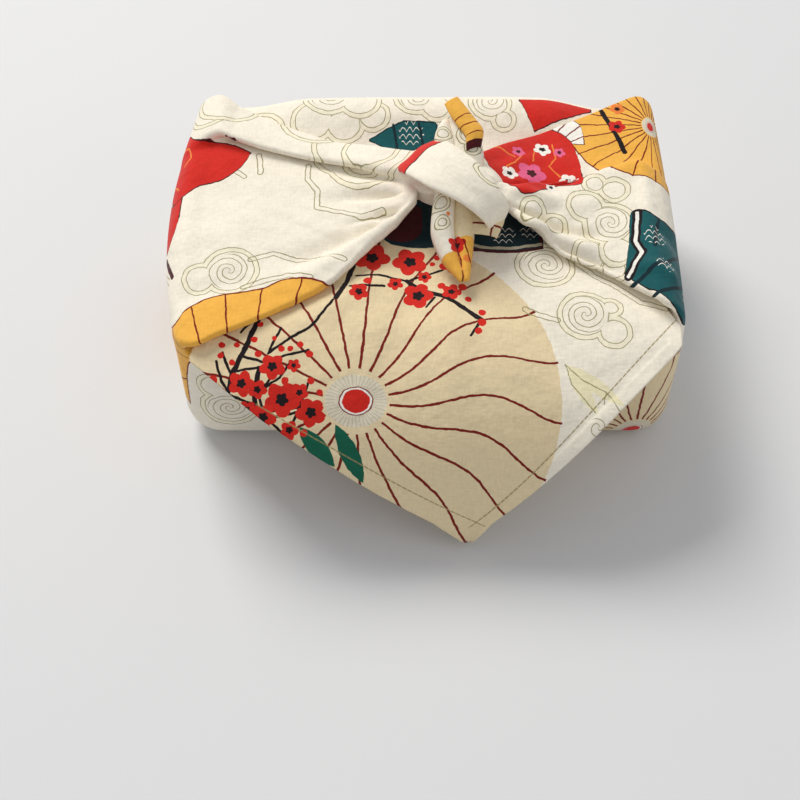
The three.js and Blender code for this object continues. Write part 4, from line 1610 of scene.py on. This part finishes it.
MOTIFS: dict[Region, tuple[Motif, ...]] = {
    Region.FLAP_TOP: (
        BIG_PARASOL, *UNDER_KNOT, LEAVES,
        Strokes((((-25, -18), (-28, -31), (-30, -38), (-33, -44)),
                 ((-8, -35), (-2, -39.5), (6, -43), (18.5, -53))), 0.95),
        Strokes((THIN_BRANCH, ((-26, -33), (-18, -33), (-8, -35), (0, -32), (5, -30)),
                 ((-28, -38.5), (-16, -37.8)), ((2, -43), (-1, -47)), ((18, -53), (14.5, -59.5))), 0.5),
        Blossom((-20.5, -24), 6.6, 0.4), Blossom((-6.7, -26), 6.4, 1.3), Blossom((-3.9, -41.5), 5.6, 0.2),
        Blossom((-25, -41), 3.6, 1.0), Blossom((8.5, -27), 4.6, 0.7), Blossom((8, -40.5), 3.6, 0.1),
        Blossom((-12, -36.5), 2.8, 0.8), Blossom((-1.5, -33), 2.6, 0.2),
        Buds(((3, -24, 1.2), (4.5, -37.5, 1.4), (12, -38, 1.6), (-29, -26, 1.2), (-22, -36, 1.5),
              (13.9, -43.7, 1.3), (18.6, -49.7, 1.4), (18.4, -54, 1.6), (17.2, -57.4, 1.3),
              (1.5, -27, 1.1))),
        *STITCHES,
    ),
    Region.FLAP_PLUM: (
        BIG_PARASOL, LEAVES,
        Strokes((((-60, -53), (-64, -64), (-68, -73), (-69.5, -80)),
                 ((-59, -72), (-60.5, -80), (-60, -89))), 0.95),
        Strokes((THIN_BRANCH,
                 ((-66, -67), (-57, -69.5), (-50, -67), (-42, -65)),
                 ((-69, -73), (-58, -71), (-52, -68)),
                 ((-74, -69), (-72, -76), (-69, -81), (-61, -84)),
                 ((-55, -75), (-59, -81), (-57, -88), (-50, -95)),
                 ((-50, -95), (-46, -88), (-42, -77)),
                 ((-57, -89), (-46, -87), (-40, -84)),
                 ((-48, -69), (-52, -75), (-58, -79)),
                 ((-66, -58), (-61, -52)), ((-56, -66), (-52, -57)), ((-72, -66), (-69, -73))), 0.5),
        Blossom((-54.5, -71), 4.6, 0.9), Blossom((-65, -77), 4.6, 0.2), Blossom((-51, -82.5), 6.2, 0.6),
        Blossom((-41, -87), 5.2, 1.2), Blossom((-57.5, -88.5), 4.6, 0.5), Blossom((-48.5, -93), 3.4, 0.3),
        Blossom((-59.5, -79), 3.4, 0.3), Blossom((-45, -80), 3.2, 0.8),
        Blossom((-63, -86), 3.2, 1.0), Blossom((-47, -70.5), 2.4, 0.6),
        Buds(((-69, -84, 1.5), (-67, -63, 1.0), (-54, -60.5, 0.9), (-38, -80, 1.1), (-50, -76, 1.3),
              (-72, -80, 1.4), (-43.5, -94, 1.3), (-72.3, -63, 1.2), (-72.5, -67, 1.1),
              (-68.5, -69.5, 1.1), (-61, -61, 1.2), (-59.5, -66.5, 1.2), (-51.5, -64.5, 1.2),
              (-48.3, -64.5, 1.0), (-45, -63, 1.1), (-41.7, -66.5, 1.3), (-75, -76, 1.7),
              (-41, -76, 1.2), (-59, -55, 1.1))),
        STITCHES[0],
    ),
    Region.FLAP_CLOUDS: (
        BIG_PARASOL,
        Cloud(((42, -28, 11), (50, -20, 6)), ((42.5, -27.5, 8, 0.1),)),
        *UNDER_KNOT,
        Cloud(((55, -51, 10), (64, -48, 4.5), (64.5, -58, 6.5)), ((55, -50.8, 7.6, 0.6),)),
        Strokes((((51, -24), (60, -33), (66, -37), (75, -45), (84, -48)),
                 ((34, -47.5), (39, -50.5), (45, -53))), 0.2, Ink.SCROLL, twin=0.95),
        Leaves((((47, -70), (58, -88), 4.5), ((47, -70), (67, -85), 5.0)), Ink.PALE),
        Strokes((((47, -70), (49, -77), (57, -87)), ((47, -70), (53, -76), (61, -80), (66, -87)),
                 ((61, -80), (60, -84))), 0.2, Ink.SCROLL),
        Cloud((), ((58, -92, 3.4, 0.2),)),
        *STITCHES,
    ),
    Region.TOP: (
        Cloud(((-44, 44, 9), (-32, 42, 8), (-21, 46, 7))),
        Cloud(((-38, 57, 11), (-26, 53, 8.5)), ((-38, 57, 7.8, 0.3),)),
        Cloud(((-66, 40, 11), (-58, 32, 7))),
        Cloud(((4, 50, 7), (-4, 55, 9)), ((-4, 55, 6.5, 0.0),)),
        Cloud(((30, 44, 5), (25, 52, 8.5)), ((25, 53, 5.8, 0.4),)),
        Patch(((36.5, 54), (48, 56), (65, 60)), ((36.5, 53), (42, 39.5), (57, 47), (65, 52)),
              Ink.RED, Ink.MAROON, 0.3, True),
        Patch(((-22, 36), (-16, 40), (-9, 43.5), (3, 43), (4, 42)),
              ((-22, 35.5), (-10, 29), (4, 35.5)), Ink.TEAL, Ink.DEEP_TEAL, 0.3, True),
        Waves((-6, 38.5, 5)), Strokes((((-13, 42), (-11, 30)), ((-3, 43), (-1, 32))), 0.5, Ink.DEEP_TEAL),
        *UNDER_KNOT,
    ),
    Region.WALLS: (
        Parasol((-45, 105), 26, 18, Ink.GOLD, outlined=True, hub=2.4),
        Cloud(((20, 88, 10), (32, 92, 8), (8, 90, 7)), ((20, 88, 7, 0.1),)),
        Cloud(((-10, 240, 12), (4, 246, 9)), ((-10, 240, 8, 0.4),)),
        Cloud(((-30, 170, 13), (-15, 176, 10), (30, 180, 12)), ((-30, 170, 9, 0.2), (30, 180, 8, 0.7))),
        Blossom((52, 106), 8, 0.3), Blossom((64, 96), 5, 1.0),
        Parasol((40, 285), 52, 20, Ink.BEIGE, hub=4),
    ),
    Region.LEFT_WING: (
        Cloud(((-71, -33, 10.5), (-82, -36, 7)), ((-71.5, -33, 7.6, 0.2),)),
        Strokes((((-64, -28), (-56, -25), (-48, -27), (-40, -26), (-30, -30)),
                 ((-66, -40.5), (-58, -38), (-50, -36), (-42, -38)),
                 ((-45, 19), (-45, 12), (-41, 5), (-41, -3), (-32, -6), (-25, -9), (-17, -8)),
                 ((-64, 25), (-63, 16)), ((-74, 18), (-69, 14))), 0.2, Ink.SCROLL, twin=0.95),
        Cloud(((-21, 21, 17.5), (-30, 26, 14))),
        Cloud(((-21, 21, 11.5),)),
        Cloud(((-84, 46, 9), (-90, 52, 9))), Cloud(((-77, 52, 13),)), Cloud(((-42, 44, 15),)),
        Patch(((-104.5, 17), (-100, 29), (-95.5, 38.5), (-88, 32.2), (-79.5, 32.2), (-67.5, 26.5)),
              ((-104.5, 16), (-100, 8), (-96.5, 3), (-92, 5), (-85, 10.6), (-77, 13), (-67.5, 26)),
              Ink.RED, Ink.MAROON),
        Strokes((((-97, 32), (-92, 30), (-91, 25), (-94, 22)), ((-101, 20), (-99, 14), (-95, 10))),
                0.4, Ink.ORANGE),
        Patch(((-106, 2), (-103, 13), (-98, 3), (-92.5, 5)),
              ((-106, 0), (-103, -14), (-100, -19), (-95, -14), (-92.5, -6)), Ink.RED, Ink.MAROON),
        LEFT_GOLD,
        Stripes(LEFT_GOLD, (-64, -120), 9.6, 0.3, Ink.RIB),
        Strokes((((-110, -17), (-100, -22), (-94, -33)),), 1.1, Ink.MAROON),
        Strokes((((-109, -23), (-97, -35)), ((-107, -22), (-96, -33))), 0.2, Ink.SCROLL),
        Blossom((-125, 20), 7, 0.3), Parasol((-150, 0), 22, 18, Ink.GOLD, outlined=True, hub=2.4),
        Cloud(((-135, -75, 11), (-122, -72, 8)), ((-135, -75, 8, 0.3),)),
    ),
    Region.RIGHT_WING: (
        Cloud(((58, -27, 7), (66, -33, 6))),
        Cloud(((69, 3, 6), (62, 6, 5))),
        Cloud(((58, -5, 7.5), (66, -13, 10), (68, -25, 7)), ((66.5, -12.5, 7.6, 0.5),)),
        Cloud(((38, -10, 5), (46, -14, 5))),
        Parasol((89, 42), 35, 26, Ink.GOLD, outlined=True, hub=2.3, rib_half=0.28),
        WHITE_PLEAT, Stripes(WHITE_PLEAT, (40, 22), 11, 0.28, Ink.RIB),
        RIGHT_FAN,
        Strokes((((28, 12), (33, 17), (36, 22)), ((48, 30), (49, 23), (46, 18), (50, 13)),
                 ((20, 21), (27, 23), (33, 20)), ((40, 20), (41, 27))), 0.3, Ink.ORANGE),
        Blossom((39, 13), 5.6, 0.3, Ink.PINK, Ink.MAROON), Blossom((44, 27), 3.4, 0.8, Ink.WHITE),
        Blossom((30.5, 10.5), 3.2, 0.2, Ink.WHITE), Blossom((53, 11), 3.6, 1.1, Ink.WHITE),
        Blossom((34.5, 23.5), 2.6, 0.1, Ink.PINK, Ink.MAROON),
        Blossom((50.6, 26), 2.3, 0.5, Ink.PINK, Ink.MAROON), Blossom((45.5, 3), 2.2, 0.4, Ink.WHITE),
        Strokes((((68, 51), (71.5, 42), (76, 28)),), 1.0),
        Blossom((74, 41), 3.4, 0.2), Blossom((75, 51), 3, 0.9, Ink.ORANGE),
        RIGHT_TEAL,
        Strokes((((71, -37), (76.5, -27), (74.5, -22), (76.5, -9)),), 1.7, Ink.BLACK),
        Strokes((((71, -37), (76.5, -27), (74.5, -22), (76.5, -9)),), 0.65, Ink.WHITE),
        Strokes((((84, -12), (81, -25)), ((72, -41), (86, -31), (100, -20), (122, -6)),
                 ((79, -47), (92, -40), (104, -30), (122, -18)), ((96, -16), (118, 0))), 0.75,
                Ink.DEEP_TEAL),
        Waves((82, -20, 4.5)), Waves((84, -34, 3.5)), Waves((116, -2, 3)), Waves((96, -43, 3)),
        Parasol((150, -70), 42, 22, Ink.BEIGE, outlined=True, hub=3),
    ),
    Region.FRONT_TAIL: (
        Patch(((0, 60), (20, 60)), ((0, -5), (20, -5)), Ink.BEIGE),
        Cloud(((-4.5, 17, 3.2), (-4, 24, 2.6)), gap=1.2),
        Patch(((-20, 60), (20, 60)), ((-20, 34), (-2, 35), (0, 30), (20, 31)), Ink.GOLD),
        Blossom((0.5, 32), 3.2, 0.4, Ink.RED, Ink.MAROON), Buds(((-2, 21, 0.7), (3, 38, 1.3)), Ink.ORANGE),
        Strokes((((0, 29), (1, 38), (-1, 46)), ((3, 31), (4, 40))), 0.25, Ink.RIB),
    ),
    Region.THIRD_LEAF: (
        Patch(((-20, 60), (20, 60)), ((-20, -5), (20, -5)), Ink.BEIGE),
        Strokes((((-8, 21.5), (8, 22)), ((3, 12), (5, 30))), 0.35, Ink.RIB),
    ),
    Region.BACK_TAIL: (
        Cloud(((-5, 15, 3),), gap=1.2), Cloud(((4, 13, 4.2), (4.5, 8, 3)), ((4, 13, 2.6, 0.2),), gap=1.2),
    ),
    Region.BACK_TIP: (
        Patch(((-20, 60), (20, 60)), ((-20, -5), (20, -5)), Ink.GOLD),
        Strokes((((-6, 6.5), (6, 5.5)), ((-6, 10.5), (6, 9.5)), ((-6, 14.4), (6, 13.6))), 0.25, Ink.RIB),
        Patch(((-6, 3.5), (6, 3)), ((-6, -5), (6, -5)), Ink.MAROON),
    ),
    Region.BAND: (
        Patch(((-20, 80), (20, 80)), ((-20, 37), (0, 40.5), (20, 38)), Ink.RED, Ink.MAROON),
        Cloud(((9, 20, 5),), gap=1.4),
    ),
    Region.CORE: (),
}


def printed(region: Region) -> bpy.types.Material:
    """Print one region of the cloth.

    Args:
        region: The region.

    Returns:
        Its printed cotton.
    """
    sheet = Print(f"cotton_{region.name.lower()}")
    for motif in MOTIFS[region]:
        motif.draw(sheet)
    log.info("%s: %d nodes", sheet.material.name, len(sheet.tree.nodes))
    return sheet.cotton(Weave())


# Sections of each wing above its wall, in the order of WING_COLUMNS; None stands for half a turn.
LEFT_ROWS = (
    (3.5, 91, 50, 55, 91, -52, 55, 22, 16, 90, 6, 16, 85, 16, 0.19, 0.03, 0.6, 0, 6),
    (4, 88, 54, 62.8, 88, -59.5, 61.6, 62, 8, 130, 5, 7, 125, 8, 0.18, 0.15, 0.6, 0, 3),
    (4.5, 82, 55, 65, 82, -64, 64, 90, None, 176, 7, None, 165, 7, 0.17, 0.5, 1, 0, 0),
    (5.2, 73, 50, 65.2, 73, -60, 65, 90, None, 178, 9, None, 165, 9, 0.17, 0.95, 3, 0.045, 0),
    (6, 62, 43.5, 65.2, 61, -54, 65.2, 90, None, 178, 8.5, None, 160, 9, 0.17, 1, 7, 0.09, 0),
    (8, 38, 31, 66, 37, -39, 66, 90, None, 170, 6.5, None, 145, 7, 0.17, 1, 4, 0.225, 0),
    (10, 14, 19, 71, 14, -13.5, 71, 90, None, 120, 2, None, 110, 2, 0.33, 0.6, 0.6, 0.27, 0),
    (11, 2, 12, 76, 4, -5, 76, 90, None, 60, 1, None, 60, 1, 0.5, 0.3, 0.6, 0.135, 0),
)
RIGHT_ROWS = (
    (3.5, 91, 51, 55, 91, -47.5, 54.5, 22, 16, 90, 6, 14, 85, 16, 0.34, 0.03, 0.6, 0, 1),
    (4, 88.5, 56, 62.8, 88.5, -49.5, 62, 62, 8, 130, 5, 5, 120, 9, 0.36, 0.15, 0.6, 0, 0.5),
    (4.5, 84, 58, 65, 84, -49.5, 64.4, 90, None, 176, 8, None, 150, 7, 0.37, 0.5, 1, 0, 0),
    (5.2, 75.5, 54, 65.2, 76.5, -43, 65, 90, None, 178, 12, None, 160, 9, 0.4, 0.95, 6, 0.045, 0),
    (6, 67, 49, 65.2, 68, -36, 65.2, 90, None, 178, 12, None, 160, 9, 0.43, 1, 12, 0.09, 0),
    (8, 47, 37, 66, 48, -24, 66, 90, None, 170, 9, None, 145, 7, 0.5, 1, 8, 0.225, 0),
    (10, 28, 24, 71, 31, -9, 71, 90, None, 120, 2, None, 110, 2, 0.66, 0.6, 0.6, 0.27, 0),
    (11, 18, 13, 76, 22, -4, 76, 90, None, 60, 1, None, 60, 1, 0.6, 0.3, 0.6, 0.135, 0),
)
# Rows of each leaf, in the order that Leaf gives.
FRONT_TAIL = (
    (0, 11, 2, 82, 6, 2, 0), (2, 9.2, -11, 80.5, 7.4, 4.4, 6), (4, 8.6, -20, 75.5, 7.8, 5, 10),
    (6, 10, -30, 70.5, 5.6, 4, 14), (8, 12.7, -40, 67.5, 1.4, 0.8, 16),
)
THIRD_LEAF = (
    (0, 14, 0, 80, 5, 2, -14), (2, 17, -8, 79, 7, 3, -10), (4, 19.5, -15.5, 76, 7.6, 2.6, -4),
    (6, 17.4, -23.4, 73.2, 6.8, 1.6, -6),
)
BACK_TAIL = (
    (0, 12, 2, 80, 7, 2, 0), (2, 11.6, 9, 82.5, 8.6, 3.4, 4), (4, 10.8, 14, 84.5, 8.4, 3.6, 8),
    (6, 9.5, 18.5, 86, 6.6, 3, 12), (8, 8, 22, 86.8, 2.6, 1, 14),
)
BACK_TIP = (
    (0, 16.5, 9, 84.5, 2.6, 0.8, 20), (2, 17, 14, 87, 3.4, 1.6, 28), (4, 14, 19, 88.6, 3.6, 1.8, 34),
    (6, 11, 23.5, 90, 3.4, 1.4, 36), (8, 8.6, 27.5, 91, 3, 0.8, 38),
)
# Soft folds of the left wing, the right wing and the top panel with its hanging corner.
LEFT_FOLDS = (
    Fold((-5, -6), (-58, -34), -3.2, (1.4, 6)), Fold((-6, -10), (-56, -43), 2.2, (1.6, 7)),
    Fold((-7, -2), (-38, 2), -2.0, (1.0, 3.0)), Fold((-8, 2), (-46, 10), 1.4, (1.6, 5)),
    Fold((-10, -8), (-32, -12), -1.8, (0.8, 1.5)), Fold((-95, -20), (-50, -8), 1.4, (9, 8), (0.4, 0.5)),
    Fold((-98, 8), (-60, 4), -1.2, (8, 6), (0.4, 0.5)), Fold((-94, -46), (-60, -36), -1.2, (4, 5)),
    Fold((-90, 0), (-56, -24), -1.0, (5, 4), (0.4, 0.5)),
)
RIGHT_FOLDS = (
    Fold((24, -8), (68, -21), -2.6, (0.9, 2.6)), Fold((30, -14), (74, -38), -2.6, (0.9, 2.8)),
    Fold((28, -11.5), (66, -28), 2.0, (1.3, 3.6)), Fold((26, -3), (64, -4), 1.6, (1.6, 5)),
    Fold((24, 2), (62, 10), -1.8, (1.0, 2.6)), Fold((80, 10), (60, 14), 1.2, (4, 3), (0.4, 0.4)),
    Fold((92, -40), (70, -30), 1.6, (3, 3), (0.3, 0.4)),
    Fold((100, -20), (76, -16), -1.3, (5, 4), (0.4, 0.4)),
    Fold((66, 34), (88, 20), -1.4, (2.5, 4), (0.4, 0.4)),
    Fold((60, 24), (84, 12), 1.2, (2.5, 4), (0.4, 0.4)),
)
FLAP_FOLDS = (
    Fold((-8, -26), (-60, -66), 1.6, (4, 8), (0.3, 0.4)),
    Fold((-2, -28), (-24, -104), -1.3, (4, 8), (0.3, 0.4)),
    Fold((6, -28), (10, -120), 1.4, (4, 9), (0.3, 0.4)),
    Fold((14, -26), (58, -88), -1.4, (4, 8), (0.3, 0.4)),
    Fold((20, -24), (76, -58), 1.3, (4, 7), (0.3, 0.4)),
    Fold((40, -112), (86, -66), 1.0, (4, 4), (0.3, 0.3)),
    Fold((-60, 14), (-20, 34), 0.8, (6, 5), (0.4, 0.4)),
    Fold((30, 30), (80, 48), -0.8, (5, 7), (0.4, 0.4)),
    Fold((-74, 50), (74, 50), 5.8, (12, 12), (0.2, 0.2)),
)


@dataclass
class WrappingCloth:
    """The folded sheet with its hem: the strip, both wings and the free ends at the knot.

    Attributes:
        box: Sizes of the box shape.
        hem_thickness: Thickness of the hem in millimetres.
        plain_share: Thickness of the rest, as a share of the hem's.
    """

    box: BoxShape
    hem_thickness: float = 1.1
    plain_share: float = 0.55

    def pieces(self) -> list[tuple[Wing | Leaf, Region]]:
        """List the wings and the free ends, each with its region.

        Returns:
            The pieces in the order in which they are laid.
        """
        two_lobes = ((-0.45, 0.55, 1), (0.52, 0.48, 0.9))
        uneven_lobes = ((-0.58, 0.42, 0.8), (0.42, 0.58, 1))
        one_lobe = ((0, 1, 1),)
        return [
            (Wing(self.box, -1, True, 6.5, LEFT_ROWS, LEFT_FOLDS), Region.LEFT_WING),
            (Wing(self.box, 1, False, 1, RIGHT_ROWS, RIGHT_FOLDS), Region.RIGHT_WING),
            (Leaf("front_tail", FRONT_TAIL, two_lobes), Region.FRONT_TAIL),
            (Leaf("third_leaf", THIRD_LEAF, one_lobe), Region.THIRD_LEAF),
            (Leaf("back_tail", BACK_TAIL, uneven_lobes), Region.BACK_TAIL),
            (Leaf("back_tip", BACK_TIP, one_lobe), Region.BACK_TIP),
        ]

    def dress(self, finishes: Sequence[bpy.types.Material]) -> bpy.types.Object:
        """Make the sheet's piece and give it its thickness.

        Args:
            finishes: Printed cotton of each region, in the regions' order.

        Returns:
            The piece.
        """
        bm = bmesh.new()
        add_panel(bm, Strip(self.box, folds=FLAP_FOLDS).build(), Region.of_strip)
        for piece, region in self.pieces():
            add_panel(bm, piece.build(), lambda x, y, index=int(region): index)
        cloth = finished(bm, "wrapping_cloth", finishes)
        cloth.vertex_groups.new(name="hem")
        thickness = cloth.modifiers.new("thickness", "SOLIDIFY")
        thickness.thickness = self.hem_thickness * MM
        thickness.offset = 0
        thickness.vertex_group = "hem"
        thickness.thickness_vertex_group = self.plain_share
        return cloth


@dataclass
class Stage:
    """Floor, light and camera.

    Attributes:
        floor_size: Side of the floor in metres.
        floor_colour: Its colour.
        floor_roughness: Its roughness.
        sky_colour: Colour of the light from all round.
        sky_strength: Its strength.
        lamp_colour: Colour of the lamps.
        lamps: Name, place, size and power of each lamp.
        camera_place: Where the camera stands, in the bundle's millimetres.
        camera_target: What it faces.
        lens: Its focal length.
        sensor: Width of its sensor.
    """

    floor_size: float = 3.0
    floor_colour: tuple[float, ...] = (0.76, 0.765, 0.775, 1)
    floor_roughness: float = 0.7
    sky_colour: tuple[float, ...] = (0.93, 0.95, 1, 1)
    sky_strength: float = 0.4
    lamp_colour: tuple[float, float, float] = (1.0, 0.97, 0.92)
    lamps: tuple[tuple[str, tuple[float, float, float], float, float], ...] = (
        ("key", (-1.0, 1.5, 1.9), 1.2, 52),
        ("fill", (1.2, -1.0, 1.6), 1.8, 7),
    )
    camera_place: tuple[float, float, float] = (-10.3, -363.18, 440.52)
    camera_target: tuple[float, float, float] = (-10.3, -66.05, 32.0)
    lens: float = 62.64
    sensor: float = 36.0

    def floor(self) -> None:
        """Lay a plain pale floor."""
        bm = bmesh.new()
        bmesh.ops.create_grid(bm, x_segments=1, y_segments=1, size=self.floor_size / 2)
        data = bpy.data.meshes.new("floor")
        bm.to_mesh(data)
        bm.free()
        material = bpy.data.materials.new("floor_paper")
        material.use_nodes = True
        shader = material.node_tree.nodes["Principled BSDF"]
        shader.inputs["Base Color"].default_value = self.floor_colour
        shader.inputs["Roughness"].default_value = self.floor_roughness
        data.materials.append(material)
        piece = bpy.data.objects.new("floor", data)
        bpy.context.scene.collection.objects.link(piece)

    def light(self, name: str, place: tuple[float, float, float], size: float, power: float) -> None:
        """Hang a square soft light that faces the bundle.

        Args:
            name: The lamp's name.
            place: Where it hangs, in metres.
            size: Its side in metres.
            power: Its power in watts.
        """
        data = bpy.data.lights.new(name, "AREA")
        data.size = size
        data.energy = power
        data.color = self.lamp_colour
        lamp = bpy.data.objects.new(name, data)
        lamp.location = place
        lamp.rotation_euler = (Vector((0, 0, 0.03)) - Vector(place)).to_track_quat("-Z", "Y").to_euler()
        bpy.context.scene.collection.objects.link(lamp)

    def camera(self) -> None:
        """Stand the camera where the photograph was taken from."""
        data = bpy.data.cameras.new("camera")
        data.lens = self.lens
        data.sensor_width = self.sensor
        data.clip_start = 0.01
        camera = bpy.data.objects.new("camera", data)
        place = Vector((np.array(self.camera_place) + FRAME_SHIFT) * MM)
        target = Vector((np.array(self.camera_target) + FRAME_SHIFT) * MM)
        camera.location = place
        camera.rotation_euler = (target - place).to_track_quat("-Z", "Y").to_euler()
        bpy.context.scene.collection.objects.link(camera)
        bpy.context.scene.camera = camera

    def build(self) -> None:
        """Set the stage."""
        world = bpy.data.worlds.new("studio")
        world.use_nodes = True
        background = world.node_tree.nodes["Background"]
        background.inputs["Color"].default_value = self.sky_colour
        background.inputs["Strength"].default_value = self.sky_strength
        bpy.context.scene.world = world
        bpy.context.scene.view_settings.view_transform = "Standard"
        self.floor()
        for lamp in self.lamps:
            self.light(*lamp)
        self.camera()


def main() -> None:
    """Build the cloth in its order and report each piece."""
    logging.basicConfig(level=logging.INFO, format="%(message)s")
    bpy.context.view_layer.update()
    Stage().build()
    finishes = [printed(region) for region in Region]
    cloth = WrappingCloth(BoxShape()).dress(finishes)
    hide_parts("cloth")
    knot = Knot()
    pieces = [knot.dress_band(finishes[Region.BAND]), knot.dress_core(finishes[Region.CORE])]


if __name__ == "__main__":
    main()
